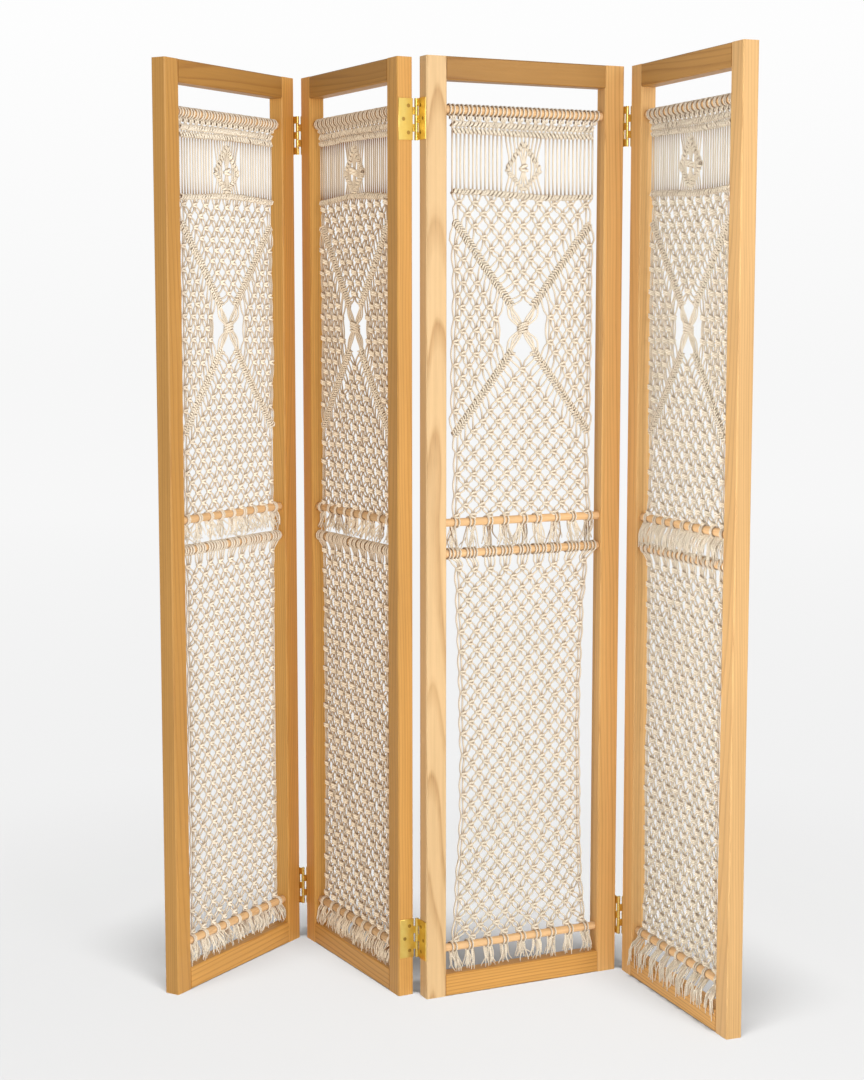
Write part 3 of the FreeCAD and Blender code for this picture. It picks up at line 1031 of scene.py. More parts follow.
    def in_knot(self, spot: np.ndarray, order: int, side: int = 1) -> list[Stop]:
        """Where a cord enters and leaves a knot.

        Args:
            spot: Middle of the knot.
            order: The cord's number in the knot: the outer two are worked round the inner two.
            side: 1 if the cords are numbered from the left, -1 if from the right.

        Returns:
            Both stops.
        """
        way = side * (-1 if order < self.knot_cords / 2 else 1)
        path = self.side_cord if order in (0, self.knot_cords - 1) else self.core_cord
        entry, leave = (np.array([turn * path.across, 0.0, -path.down]) for turn in (-way, way))
        above, below = (spot + np.array([way * path.step, path.depth, rise])
                        for rise in (path.reach, -path.reach))
        return [Stop(above, entry, crevice=path.crevice), Stop(below, leave, 1, path.crevice)]

    def lay(self, stops: Sequence[Stop]) -> None:
        """Lay one cord.

        Args:
            stops: The stops along it.
        """
        path, shade_levels = smooth_route(self.straightened(stops), self.bow)
        start = self.draw.uniform(0.0, 1.0)
        # Painted shade from the stops along the cord, and more on its sides
        self.sheaf.add(Strand.tube(path, self.cord_radius, self.cord_sides, BACK, start=start, crevice=shade_levels,
                                   edge=self.hand.side_shade))

    def straightened(self, stops: Sequence[Stop]) -> list[Stop]:
        """Let a cord that comes back to the same side of the next knot run almost straight.

        Args:
            stops: The stops along the cord.

        Returns:
            The same stops, with the headings eased where it does so.
        """
        eased = list(stops)
        for index in range(len(stops) - 1):
            leave, entry = stops[index], stops[index + 1]
            if leave.heading is None or entry.heading is None or leave.heading[0] * entry.heading[0] >= 0:
                continue
            if entry.pieces > 1:
                for at, stop in ((index, leave), (index + 1, entry)):
                    eased[at] = replace(stop, heading=stop.heading * np.array(self.eased_heading))
        return eased

    def wrap(self, x: float, height: float, lean: float, width: float = 1.0) -> None:
        """Put a turn of cord round a dowel.

        Args:
            x: Its place along the dowel.
            height: Height of the dowel's middle.
            lean: How far it leans along the dowel.
            width: Its width in cords.
        """
        slant = -lean * self.draw.normal(1.0, self.wrap_lean_spread)
        turn = np.array([[width, slant, lean * self.wrap_tip], [0, 1, 0], [0, 0, 1]])
        turn[1:] *= self.draw.normal(1.0, self.wrap_size_spread)
        self.sheaf.add(self.loop.placed(turn, np.array([x, 0.0, height]), self.slide()))

    def hitch_line(self, start: np.ndarray, end: np.ndarray, count: int, lean: float, sway: float,
                   kind: Hitches) -> None:
        """Row of double half hitches on a carrying cord.

        Args:
            start: First end of the carrying cord.
            end: Its other end.
            count: Number of cords hitched on, with two turns each.
            lean: How far each turn leans along the cord.
            sway: How far the row wanders from a straight line.
            kind: Which kind of row it is.
        """
        style = kind.value
        run = (end - start) / np.linalg.norm(end - start)
        square = np.cross(BACK, run)
        for index in range(2 * count):
            pair = style.pair * (1 if index % 2 else -1)
            share = (index // 2 + 0.5) / count
            spot = self.swayed(start, end, share, sway) + run * pair
            spot += self.draw.normal(0.0, self.hitch_jitter, 3)
            tilt = lean * self.draw.normal(1.0, self.hitch_lean_spread)
            turn = np.stack([run, BACK, square], axis=1)
            turn = turn @ np.array([[style.width, self.hitch_tip * tilt, tilt], [0, 1, 0], [0, 0, 1]])
            turn *= style.size * self.draw.normal(1.0, self.hitch_size_spread)
            self.sheaf.add(self.hitch.placed(turn, spot, self.slide()))
        shares = np.linspace(0.0, 1.0, self.carrier_points)
        path = np.array([self.swayed(start, end, share, sway) for share in shares])
        # The carrying cord gets painted shade where the hitches cover it
        self.sheaf.add(Strand.tube(path, self.cord_radius, self.turn_sides, BACK,
                                   crevice=self.carrier_shade))

    def swayed(self, start: np.ndarray, end: np.ndarray, share: float, sway: float) -> np.ndarray:
        """Place on a carrying cord that wanders from a straight line.

        Args:
            start: First end of the cord.
            end: Its other end.
            share: 0 at the first end and 1 at the other.
            sway: How far the cord wanders.

        Returns:
            The place.
        """
        square = np.cross(BACK, (end - start) / np.linalg.norm(end - start))
        wave = math.sin(self.carrier_waves * share + self.wave[2])
        return start + (end - start) * share - square * sway * wave

    def group_places(self) -> list[float]:
        """Places along a dowel where the groups of cords meet it."""
        return [(k - self.middle_knot) * self.group_pitch + self.draw.normal(0.0, self.group_jitter)
                for k in range(self.group_count)]

    def in_group(self, cord: int) -> float:
        """Place of a cord in its group, counted in cords from the group's middle."""
        return cord % self.knot_cords - (self.knot_cords - 1) / 2

    def last_stop(self, cord: int, groups: Sequence[float], dowel: float) -> Stop:
        """Where a cord goes behind the dowel that ends the net.

        Args:
            cord: The cord's number from the left.
            groups: Where along the dowel the groups of cords meet it.
            dowel: Height of the dowel's middle.

        Returns:
            The stop.
        """
        x = groups[cord // self.knot_cords] + self.in_group(cord) * self.end_pitch
        behind, above = self.end_behind * self.loop_radius, self.end_above * self.loop_radius
        return Stop(np.array([x, behind, dowel + above]))

    def wrap_off(self, groups: Sequence[float], dowel: float, fringe: Fringe) -> None:
        """Wrap the groups of cords round a dowel and let their ends hang below it.

        Args:
            groups: Where along the dowel the groups meet it.
            dowel: Height of the dowel's middle.
            fringe: How the ends hang.
        """
        for group in groups:
            for side in (-1, 1):
                x = group + side * (self.hand.ring_gap + self.draw.normal(0.0, self.ring_jitter))
                self.wrap(x, dowel, self.ring_lean, self.hand.ring_width)
        for group in groups:
            lean = self.draw.normal(fringe.lean, self.end_lean_share * fringe.spread)
            for _ in range(fringe.strands):
                self.hang(group, dowel, lean, fringe)

    def hang(self, group: float, dowel: float, lean: float, fringe: Fringe) -> None:
        """One cord end that hangs below a dowel, frayed to a ply.

        Args:
            group: Where along the dowel its group leaves it.
            dowel: Height of the dowel's middle.
            lean: How far the group's ends lean sideways.
            fringe: How they hang.
        """
        shares = np.linspace(0.0, 1.0, self.end_points)
        root = group + self.draw.uniform(-1.0, 1.0) * fringe.root_run
        fall = fringe.length * self.draw.normal(1.0, self.end_length_spread)
        reach, depth = self.draw.normal(lean, fringe.spread), self.draw.normal(0.0, self.end_jitter)
        curl, phase = self.draw.normal(0.0, fringe.curl), self.draw.uniform(0.0, self.end_phases)
        wave = curl * np.sin(shares * self.end_waves + phase)
        across = root + reach * shares ** self.end_fan + wave * shares
        path = np.stack([
            np.clip(across, -self.opening, self.opening),
            fringe.front * np.minimum(1.0, 2.0 * shares) + depth * shares,
            dowel - self.end_root * self.dowel_radius - fall * shares], axis=1)
        radius = self.end_radius * (1.0 - self.end_taper * shares ** 2)
        # The cube of an even draw is a quarter on average.
        # Painted shade on the cord ends: strong on a few strands, weak on most, and paling towards the tips
        crevice = fringe.crevice * 4.0 * self.draw.uniform() ** 3 * (1.0 - self.end_paling * shares)
        start = self.draw.uniform()
        self.sheaf.add(Strand.tube(path, radius, self.end_sides, BACK, start=start, crevice=crevice))

    def finish(self, name: str, node: str) -> bpy.types.Object:
        """Gather the net, dress it and stand it in for its plain solid.

        Args:
            name: The piece's name.
            node: The node that it stands for.

        Returns:
            The piece.
        """
        piece = self.sheaf.build(name, self.place.matrix())
        hand = self.hand
        cotton = CottonFinish().material(f"cotton_{name}", float(self.seed), hand.shade_strength, hand.painted_warmth)
        piece.data.materials.append(cotton)
        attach(piece, f"panel_{self.place.index}")
        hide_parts(node)
        LOG.info("%s: %d faces", name, len(piece.data.polygons))
        return piece


@dataclass
class LowerNet(Net):
    """Plain alternating square knots between the lower middle dowel and the bottom dowel."""

    first_drop: float = 31.0 * MM
    last_rise: float = 17.0 * MM
    rows: int = 37
    waist_curve: float = 2.2
    loop_lean: float = 0.12
    gap_jitter: float = 0.3 * MM
    loop_jitter: float = 0.4 * MM

    def half_width(self, height: float) -> float:
        """Half the net's width: widest at the dowels and drawn in between them.

        Args:
            height: Where it is measured.

        Returns:
            Half the width there.
        """
        low, high = self.place.height(Dowel.BOTTOM), self.place.height(Dowel.LOWER_MID)
        reach = abs(2 * (height - low) / (high - low) - 1)
        return self.end_half_width - self.hand.waist_draw * (1 - reach ** self.waist_curve)

    def loop_places(self, groups: Sequence[float]) -> list[float]:
        """Places of the loops along the upper dowel.

        Args:
            groups: Where the groups of cords meet it.

        Returns:
            The places, one for each cord.
        """
        loops = []
        for group in groups:
            gap = self.hand.loop_gap + self.draw.normal(0.0, self.gap_jitter)
            for cord in range(self.knot_cords):
                pull = self.hand.loop_pull * (1 if cord % 2 == 0 else -1)
                even = group + self.in_group(cord) * gap + pull
                loops.append(even + self.draw.normal(0.0, self.loop_jitter))
        return loops

    def build(self) -> bpy.types.Object:
        """Loop the cords on, knot them row by row, wrap them off and let their ends hang.

        Returns:
            The net.
        """
        top, bottom = self.place.height(Dowel.LOWER_MID), self.place.height(Dowel.BOTTOM)
        heights = np.linspace(top - self.first_drop, bottom + self.last_rise, self.rows)
        rows = [self.row(z, n % 2 == 0, 0, self.group_count - 1 - n % 2) for n, z in enumerate(heights)]
        groups = self.group_places()
        loops = self.loop_places(groups)
        for x in loops:
            self.wrap(x, top, self.loop_lean, self.hand.loop_width)
        for cord in range(self.cords):
            front, below = self.loop_front * self.loop_radius, self.loop_below * self.loop_radius
            stops = [Stop(np.array([loops[cord], front, top - below]))]
            for row in rows:
                stops += self.through(row, cord)
            self.lay(stops + [self.last_stop(cord, groups, bottom)])
        self.wrap_off(groups, bottom, self.hand.bottom)
        index = self.place.index
        return self.finish(f"panel_{index}_lower_net", f"panel_{index}_lower_macrame")


@dataclass
class UpperNet(Net):
    """Header with a diamond, and a knotted field with two crossing arms and a gathered middle."""

    waist_draw: float = 7.0 * MM
    ridge_half_width: float = 147.0 * MM
    loop_half_run: float = 155.0 * MM
    loop_lean: float = 0.1
    foot_drop: float = 14.0 * MM
    foot_size: Triple = (1.2, 0.7, 0.65)
    ridge_drops: tuple[float, ...] = (25.5 * MM, 38.5 * MM, 150.0 * MM)
    ridge_leans: tuple[float, ...] = (-0.7, 0.7, -0.7)
    ridge_sways: tuple[float, ...] = (0.8 * MM, 1.4 * MM, 3.6 * MM)
    # Painted shade on the cords where they pass into a ridge
    ridge_shade: float = 0.75
    header_sway: float = 0.8 * MM
    header_waves: float = 1.7
    crossed_depths: tuple[float, float] = (-0.4, 0.2)
    proud: float = -1.0 * MM
    diamond_half_width: float = 35.5 * MM
    diamond_draw: float = 0.77
    diamond_drops: tuple[float, ...] = (54.0 * MM, 103.0 * MM, 141.0 * MM)
    diamond_cords: int = 7
    diamond_lean: float = 0.5
    diamond_knot_rise: float = 2.0 * MM
    diamond_knot_reach: float = 6.0 * MM
    diamond_knot_size: float = 1.35
    diamond_knot_share: float = 0.45
    diamond_gather: float = 0.25
    diamond_bulge: float = 1.03
    first_row_drop: float = 166.0 * MM
    row_pitch: float = 20.5 * MM
    triangle_rows: int = 9
    arm_outer: tuple[float, float] = (-143.0 * MM, 199.0 * MM)
    arm_inner: tuple[float, float] = (-22.0 * MM, 355.0 * MM)
    arm_half_gap: float = 3.9 * MM
    arm_lean: float = 0.55
    arm_sway: float = 0.6 * MM
    cross_drop: float = 396.0 * MM
    cross_half_width: float = 9.2 * MM
    cross_half_depth: float = 7.6 * MM
    cross_cord: float = 2.7 * MM
    cross_points: int = 12
    cross_pairs: int = 2
    # In millimetres: height, reach and step outward of the cords through the middle knot, height and tilt
    # of its turns, and places along the bows that lead to it
    cross_stops: tuple[Triple, ...] = (
        (20.0, 8.0, 6.0), (9.0, 2.6, 2.6), (-9.0, 2.6, 2.6), (-20.0, 8.0, 6.0))
    cross_turns: tuple[tuple[float, float], ...] = ((7.2, 4.0), (2.6, 4.6), (-2.2, 4.2), (-6.8, 2.6))
    bows: tuple[tuple[tuple[float, float], ...], ...] = (
        ((32, 44), (29, 22), (12, 7), (5, 2)), ((25, 42), (21, 21), (9, 8), (4, 3)))
    side_first_drop: float = 245.0 * MM
    side_row_pitch: float = 21.8 * MM
    side_counts: tuple[int, ...] = (1, 1, 2, 2, 3, 3, 4, 3, 4, 3, 3, 2, 2, 1, 1)
    side_edge: float = -139.0 * MM
    side_pitch: float = 27.0 * MM
    low_first_drop: float = 469.0 * MM
    low_row_pitch: float = 19.7 * MM
    low_rows: int = 15

    def half_width(self, height: float) -> float:
        """Half the net's width: a little drawn in at the crossing arms."""
        low, high = self.place.height(Dowel.UPPER_MID), self.place.height(Dowel.TOP)
        return self.end_half_width - self.waist_draw * math.sin(math.pi * (height - low) / (high - low))

    def spread(self, cord: int, half: float) -> float:
        """Even place of a cord across a width."""
        return half * (2 * cord / (self.cords - 1) - 1)

    def build(self) -> bpy.types.Object:
        """Mount the cords, work the header and the field, wrap them off and let their ends hang.

        Returns:
            The net.
        """
        self.top = self.place.height(Dowel.TOP)
        self.bottom = self.place.height(Dowel.UPPER_MID)
        self.middle = np.array([0.0, 0.0, self.top - self.cross_drop])
        self.make_ridges()
        self.make_diamond()
        self.make_arms()
        self.tie_rows()
        groups = self.group_places()
        for cord in range(self.cords):
            self.lay(self.route(cord, groups))
        self.wrap_off(groups, self.bottom, self.hand.middle)
        index = self.place.index
        return self.finish(f"panel_{index}_upper_net", f"panel_{index}_upper_macrame")

    def make_ridges(self) -> None:
        """Loops on the top dowel with their feet, and the three ridges of half hitches."""
        half = self.ridge_half_width
        for cord in range(self.cords):
            x = self.spread(cord, self.loop_half_run) + self.hand.loop_pull * (1 if cord % 2 == 0 else -1)
            self.wrap(x, self.top, self.loop_lean)
            spot = np.array([0.5 * (x + self.spread(cord, half)), self.proud, self.top - self.foot_drop])
            self.sheaf.add(self.hitch.placed(np.diag(self.foot_size), spot, self.map_slide * cord))
        for drop, lean, sway in zip(self.ridge_drops, self.ridge_leans, self.ridge_sways):
            ends = [np.array([side * half, 0.0, self.top - drop]) for side in (-1, 1)]
            self.hitch_line(*ends, self.cords, lean, sway, Hitches.RIDGE)

    def make_diamond(self) -> None:
        """Diamond of half hitches in the header, with a knot in its middle."""
        upper, middle, lower = (self.top - drop for drop in self.diamond_drops)
        for side in (-1, 1):
            corner = np.array([side * self.diamond_half_width, 0.0, middle])
            for tip in (upper, lower):
                start = np.array([0.0, 0.0, tip])
                self.hitch_line(start, corner, self.diamond_cords, self.diamond_lean * side, 0.0,
                                Hitches.DIAMOND)
        self.tie(np.array([0.0, self.proud, middle + self.diamond_knot_rise]), self.diamond_knot_size)

    def diamond_at(self, x: float, above: bool) -> float:
        """Height of a side of the diamond.

        Args:
            x: Place across.
            above: Whether it is an upper side.

        Returns:
            The side's height there.
        """
        upper, middle, lower = (self.top - drop for drop in self.diamond_drops)
        tip = upper if above else lower
        return tip + (middle - tip) * min(1.0, abs(x) / self.diamond_half_width)

    def arm_at(self, share: float, side: int, below: bool) -> np.ndarray:
        """Place on a crossing arm.

        Args:
            share: 0 at its outer end and 1 at its inner end.
            side: -1 for an arm on the left, 1 for one on the right.
            below: Whether it is one of the lower two.

        Returns:
            The place.
        """
        x, drop = (outer + (inner - outer) * share for outer, inner in zip(self.arm_outer, self.arm_inner))
        if below:
            drop = 2 * self.cross_drop - drop
        return np.array([-side * x, 0.0, self.top - drop])

    def make_arms(self) -> None:
        """Double rows of hitches along the four crossing arms, and the gathered middle knot."""
        for side in (-1, 1):
            for below in (False, True):
                outer, inner = self.arm_at(0.0, side, below), self.arm_at(1.0, side, below)
                run = (inner - outer) / np.linalg.norm(inner - outer)
                for way in (-1, 1):
                    shift = np.cross(BACK, run) * way * self.arm_half_gap
                    self.hitch_line(outer + shift, inner + shift, self.cords // 2, self.arm_lean * way,
                                    self.arm_sway, Hitches.ARM)
                self.gather(side, below)
        for height, tilt in self.cross_turns:
            turn = self.level_turn(self.cross_half_width, self.cross_half_depth, height * MM, tilt * MM,
                                   self.cross_points, self.cross_cord)
            self.sheaf.add(turn.placed(np.eye(3), self.middle, 0.0))

    def gather(self, side: int, below: bool) -> None:
        """Draw the carrying cords of an arm on in bows from its inner end to the middle knot.

        Args:
            side: -1 for an arm on the left, 1 for one on the right.
            below: Whether it is one of the lower two.
        """
        rise = -1 if below else 1
        for bow in self.bows:
            shifts = [np.array([side * x, self.draw.normal(0.0, 1.0), rise * z]) for x, z in bow]
            self.lay([Stop(self.middle + shift * MM) for shift in shifts])

    def tie_rows(self) -> None:
        """Knots of the upper triangle, the side fields and the lower field."""
        last_knot = self.group_count - 1
        centre = last_knot // 2
        self.upper_rows: list[KnotRow] = []
        for n in range(self.triangle_rows):
            odd, half = n % 2, n // 2
            height = self.top - self.first_row_drop - n * self.row_pitch
            self.upper_rows.append(self.row(height, not odd, half, last_knot - odd - half))
        self.side_rows: dict[int, list[KnotRow]] = {-1: [], 1: []}
        for side, rows in self.side_rows.items():
            for n, count in enumerate(self.side_counts):
                edge = self.side_edge + (n % 2) * self.side_pitch / 2
                height = self.top - self.side_first_drop - n * self.side_row_pitch
                knots = {k: self.shaken(-side * (edge + k * self.side_pitch), height) for k in range(count)}
                for spot in knots.values():
                    self.tie(spot)
                rows.append(KnotRow(2 * (n % 2), knots))
        self.lower_rows: list[KnotRow] = []
        for n in range(self.low_rows):
            odd, half = n % 2, min(n // 2, centre)
            first, last = max(0, centre - odd - half), min(last_knot - odd, centre + half)
            height = self.top - self.low_first_drop - n * self.low_row_pitch
            self.lower_rows.append(self.row(height, not odd, first, last))

    def route(self, cord: int, groups: Sequence[float]) -> list[Stop]:
        """Stops of a cord from the top dowel to the one below.

        Args:
            cord: The cord's number from the left.
            groups: Where the groups of cords meet the lower dowel.

        Returns:
            The stops in order.
        """
        side = -1 if cord < self.cords / 2 else 1
        inward = min(cord, self.cords - 1 - cord)
        innermost = self.cords // 2 - 1
        stops = self.header_route(cord)
        for row in self.upper_rows:
            stops += self.through(row, cord)
        share = inward / innermost
        stops.append(Stop(self.arm_at(share, side, False)))
        for row in self.side_rows[side]:
            knot, order = divmod(inward - row.first_cord, self.knot_cords)
            if knot in row.knots:
                stops += self.in_knot(row.knots[knot], order, -side)
        outside = innermost - inward
        if outside < self.cross_pairs:
            for rise, near, step in self.cross_stops:
                reach = near + step * outside
                stops.append(Stop(self.middle + np.array([side * reach, 0.0, rise]) * MM))
        stops.append(Stop(self.arm_at(share, side, True)))
        for row in self.lower_rows:
            stops += self.through(row, cord)
        return stops + [self.last_stop(cord, groups, self.bottom)]

    def header_route(self, cord: int) -> list[Stop]:
        """Stops of a cord from its loop through the header.

        Args:
            cord: The cord's number from the left.

        Returns:
            The stops in order.
        """
        x = self.spread(cord, self.ridge_half_width)
        crossed = self.spread(cord + (1 if cord % 2 == 0 else -1), self.loop_half_run)
        depth = self.crossed_depths[cord % 2] * self.loop_radius
        spots = [(crossed, depth, self.top - self.loop_below * self.loop_radius)]
        spots += [(x, 0.0, self.top - drop) for drop in self.ridge_drops[:-1]]
        inner = self.diamond_draw * x
        if abs(inner) < self.diamond_half_width:
            spots.append((inner, 0.0, self.diamond_at(inner, True)))
            middle = self.top - self.diamond_drops[1] + self.diamond_knot_rise
            if abs(inner) < self.diamond_knot_share * self.diamond_half_width:
                gathered, reach = self.diamond_gather * inner, self.diamond_knot_reach
                spots += [(gathered, 0.0, middle + reach), (gathered, 0.0, middle - reach)]
            else:
                spots.append((self.diamond_bulge * inner, self.proud, middle))
            spots.append((inner, 0.0, self.diamond_at(inner, False)))
        else:
            sway = self.header_sway * math.sin(cord * self.header_waves)
            spots.append((x + sway, 0.0, self.top - 0.5 * sum(self.ridge_drops[1:])))
        spots.append((x, 0.0, self.top - self.ridge_drops[-1]))
        stops = [Stop(np.array(spot)) for spot in spots]
        for at in (1, 2, len(stops) - 1):
            # Painted shade on the cords at the ridges
            stops[at] = replace(stops[at], heading=-UP / self.bow, crevice=self.ridge_shade)
        return stops


def dress_node(node: str, material: bpy.types.Material) -> None:
    """Give a node of the frame a material.

    Args:
        node: The node's name.
        material: What it is dressed in.
    """
    mesh = frame["nodes"][node].data
    mesh.materials.clear()
    mesh.materials.append(material)
    LOG.info("%s: dressed in %s", node, material.name)


@dataclass
class PanelTimber:
    """Stiles, rails and dowels of one panel, which keep their solids and get their grain."""

    place: PanelPlace
    stiles: tuple[str, ...] = ("left_stile", "right_stile")
    rails: tuple[str, ...] = ("bottom_rail", "top_rail")
    dowels: tuple[str, ...] = tuple(f"{dowel.value}_dowel" for dowel in Dowel)
    seed_step: int = 20

    def dress(self) -> None:
        """Give each board its own grain."""
        index = self.place.index
        for order, name in enumerate(self.stiles + self.rails + self.dowels):
            node = f"panel_{index}_{name}"
            finish = DOWEL_TIMBER if name in self.dowels else FRAME_TIMBER
            grain = Grain.UPRIGHT if name in self.stiles else Grain.ACROSS
            seed = GRAIN_SHIFT + self.seed_step * index + order
            look = BOARD_LOOKS[index].get(name, BoardLook())
            timber = finish.material(f"timber_{node}", middle_of(node), self.place.yaw, grain, seed, look)
            dress_node(node, timber)


class Side(Enum):
    """Which panel of a fold a leaf is screwed to."""

    LEFT = "left"
    RIGHT = "right"


@dataclass
class Hinges:
    """Butt hinges of the folds: rolled leaves and cross-headed screws, each modelled once and copied.

    A hinge's own frame has its pin along z through the origin, and the leaf on the -x side of it.
    """

    height: float = 75.0 * MM
    plate: float = 2.0 * MM
    near: float = 6.0 * MM
    far: float = 35.0 * MM
    barrel: float = 3.4 * MM
    bore: float = 2.15 * MM
    knuckles: int = 5
    gap: float = 0.4 * MM
    easing: float = 0.4 * MM
    easing_steps: int = 2
    round_sides: int = 24
    smooth_angle: float = 20.0
    screw_spots: tuple[tuple[float, float], ...] = (
        (15.0 * MM, 24.0 * MM), (25.0 * MM, 0.0), (15.0 * MM, -24.0 * MM))
    first_turn: float = 0.5
    turn_step: float = 0.7
    head: float = 3.5 * MM
    sink: float = 1.05
    sink_proud: float = 0.01 * MM
    shank: float = 1.75 * MM
    shank_length: float = 18.0 * MM
    shank_overlap: float = 0.2 * MM
    tip_share: float = 0.4
    slot_half_length: float = 2.3 * MM
    slot_half_width: float = 0.45 * MM
    slot_depth: float = 1.0 * MM
    spare: float = 1.0 * MM
    long_sides: tuple[Side, ...] = (Side.LEFT, Side.RIGHT, Side.LEFT)

    def build(self) -> None:
        """Model the leaves and a screw, and screw them on at both heights of each fold."""
        self.brass = PLATE_BRASS.material("polished_brass")
        self.screw_brass = SCREW_BRASS.material("screw_brass")
        self.back, self.face = -self.barrel, self.plate - self.barrel
        leaves = {True: self.model_leaf(0), False: self.model_leaf(1)}
        screw = self.model_screw()
        for fold, long_side in zip(FOLDS, self.long_sides):
            dress_node(f"hinge_{fold}_pins", self.brass)
            for side in Side:
                self.mount(fold, side, leaves[side is long_side], screw)
        for model in (*leaves.values(), screw):
            bpy.data.objects.remove(model)

    def settled(self) -> bpy.types.Object:
        """The shape just added, with its place and turn in its mesh."""
        bpy.ops.object.transform_apply(location=True, rotation=True, scale=True)
        return bpy.context.object

    def box(self, low: Triple, high: Triple) -> bpy.types.Object:
        """Box between two corners.

        Args:
            low: Its lowest corner.
            high: Its highest corner.

        Returns:
            The box.
        """
        low, high = Vector(low), Vector(high)
        bpy.ops.object.select_all(action="DESELECT")
        bpy.ops.mesh.primitive_cube_add(size=1.0, location=(low + high) / 2, scale=high - low)
        return self.settled()

    def rod(self, start: Triple, end: Triple, first: float, last: float) -> bpy.types.Object:
        """Round bar or cone between two points.

        Args:
            start: Middle of its first end.
            end: Middle of its other end.
            first: Radius of its first end.
            last: Radius of its other end.

        Returns:
            The bar.
        """
        start, end = Vector(start), Vector(end)
        bpy.ops.object.select_all(action="DESELECT")
        turn = (end - start).to_track_quat("Z", "Y").to_euler()
        bpy.ops.mesh.primitive_cone_add(vertices=self.round_sides, radius1=first, radius2=last,
                                        depth=(end - start).length, location=(start + end) / 2, rotation=turn)
        return self.settled()

    def altered(self, piece: bpy.types.Object, kind: str, settings: dict) -> bpy.types.Object:
        """Put a modifier on a piece and apply it.

        Args:
            piece: The piece.
            kind: The modifier's type.
            settings: Its properties.

        Returns:
            The same piece.
        """
        modifier = piece.modifiers.new(kind.lower(), kind)
        for key, setting in settings.items():
            setattr(modifier, key, setting)
        bpy.context.view_layer.objects.active = piece
        bpy.ops.object.modifier_apply(modifier=modifier.name)
        return piece

    def eased(self, piece: bpy.types.Object) -> bpy.types.Object:
        """The same piece with its sharp edges eased."""
        settings = {"width": self.easing, "segments": self.easing_steps, "limit_method": "ANGLE"}
        return self.altered(piece, "BEVEL", settings)

    def cut(self, piece: bpy.types.Object, cutter: bpy.types.Object) -> None:
        """Cut one shape out of another."""
        self.altered(piece, "BOOLEAN", {"object": cutter, "operation": "DIFFERENCE", "solver": "EXACT"})
        bpy.data.objects.remove(cutter)

    def join(self, pieces: Sequence[bpy.types.Object]) -> bpy.types.Object:
        """Several shapes as one object, smooth where they are round.

        Args:
            pieces: The shapes.

        Returns:
            The object.
        """
        bpy.ops.object.select_all(action="DESELECT")
        for piece in pieces:
            piece.select_set(True)
        bpy.context.view_layer.objects.active = pieces[0]
        bpy.ops.object.join()
        bpy.ops.object.shade_smooth_by_angle(angle=math.radians(self.smooth_angle))
        return pieces[0]

    def model_leaf(self, first: int) -> bpy.types.Object:
        """Leaf with every other knuckle.

        Args:
            first: Number of its lowest knuckle.

        Returns:
            The leaf in the hinge's frame.
        """
        half, spare = self.height / 2, self.spare
        plate = self.eased(self.box((self.back, self.near, -half), (self.face, self.far, half)))
        for reach, rise in self.screw_spots:
            start, end = (self.back - spare, reach, rise), (self.face + self.sink_proud, reach, rise)
            self.cut(plate, self.rod(start, end, self.sink * self.shank, self.sink * self.head))
        parts = [plate]
        length = (self.height - (self.knuckles - 1) * self.gap) / self.knuckles
        for index in range(first, self.knuckles, 2):
            low = index * (length + self.gap) - half
            high = low + length
            barrel = self.eased(self.rod((0, 0, low), (0, 0, high), self.barrel, self.barrel))
            self.cut(barrel, self.rod((0, 0, low - spare), (0, 0, high + spare), self.bore, self.bore))
            strip = self.box((self.back, self.bore, low + self.easing),
                             (self.face, self.near + spare, high - self.easing))
            parts += [barrel, strip]
        return self.join(parts)

    def model_screw(self) -> bpy.types.Object:
        """Countersunk screw with a cross slot.

        Returns:
            The screw in the hinge's frame, at the pin's height.
        """
        head = self.rod((self.back, 0, 0), (self.face, 0, 0), self.shank, self.head)
        long, wide = self.slot_half_length, self.slot_half_width
        for across, up in ((long, wide), (wide, long)):
            low, high = (self.face - self.slot_depth, -across, -up), (self.face + self.spare, across, up)
            self.cut(head, self.box(low, high))
        tip, root = (self.back - self.shank_length, 0, 0), (self.back + self.shank_overlap, 0, 0)
        return self.join([head, self.rod(tip, root, self.tip_share * self.shank, self.shank)])

    def mount(self, fold: str, side: Side, leaf: bpy.types.Object, screw: bpy.types.Object) -> None:
        """Put copies of a leaf and its screws on one panel of a fold.

        Args:
            fold: The fold's name.
            side: Which of its panels.
            leaf: The leaf to copy.
            screw: The screw to copy.
        """
        index = int(fold.split("_")[0 if side is Side.LEFT else 1])
        place = PanelPlace.read(index)
        low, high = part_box(f"hinge_{fold}_pins")
        pin = (low + high) / 2
        turn = Matrix.Rotation(place.yaw, 3, "Z")
        outward = turn @ Vector((1.0 if side is Side.LEFT else -1.0, 0.0, 0.0))
        inward = turn @ Vector((0.0, 1.0, 0.0))
        inward *= -math.copysign(1.0, inward.dot(pin - place.centre))
        axes = Matrix((outward, inward, outward.cross(inward))).transposed().to_4x4()
        leaves, screws = [], []
        for height in (low.z + self.height / 2, high.z - self.height / 2):
            spot = Matrix.Translation((pin.x, pin.y, height)) @ axes
            leaves.append(self.copied(leaf, spot))
            for order, (reach, rise) in enumerate(self.screw_spots):
                spin = Matrix.Rotation(self.first_turn + self.turn_step * order + index, 4, "X")
                screws.append(self.copied(screw, spot @ Matrix.Translation((0.0, reach, rise)) @ spin))
        for pieces, name, node, brass, slot in (
                (leaves, "plates", "leaves", self.brass, "brass"),
                (screws, "cross_screws", "screws", self.screw_brass, "screw_brass")):
            piece = self.join(pieces)
            piece.name = f"hinge_{fold}_{side.value}_{name}"
            piece.data.materials.clear()
            piece.data.materials.append(brass)
            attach(piece, f"panel_{index}")
            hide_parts(f"hinge_{fold}_{side.value}_{node}")
            LOG.info("%s: %d faces", piece.name, len(piece.data.polygons))

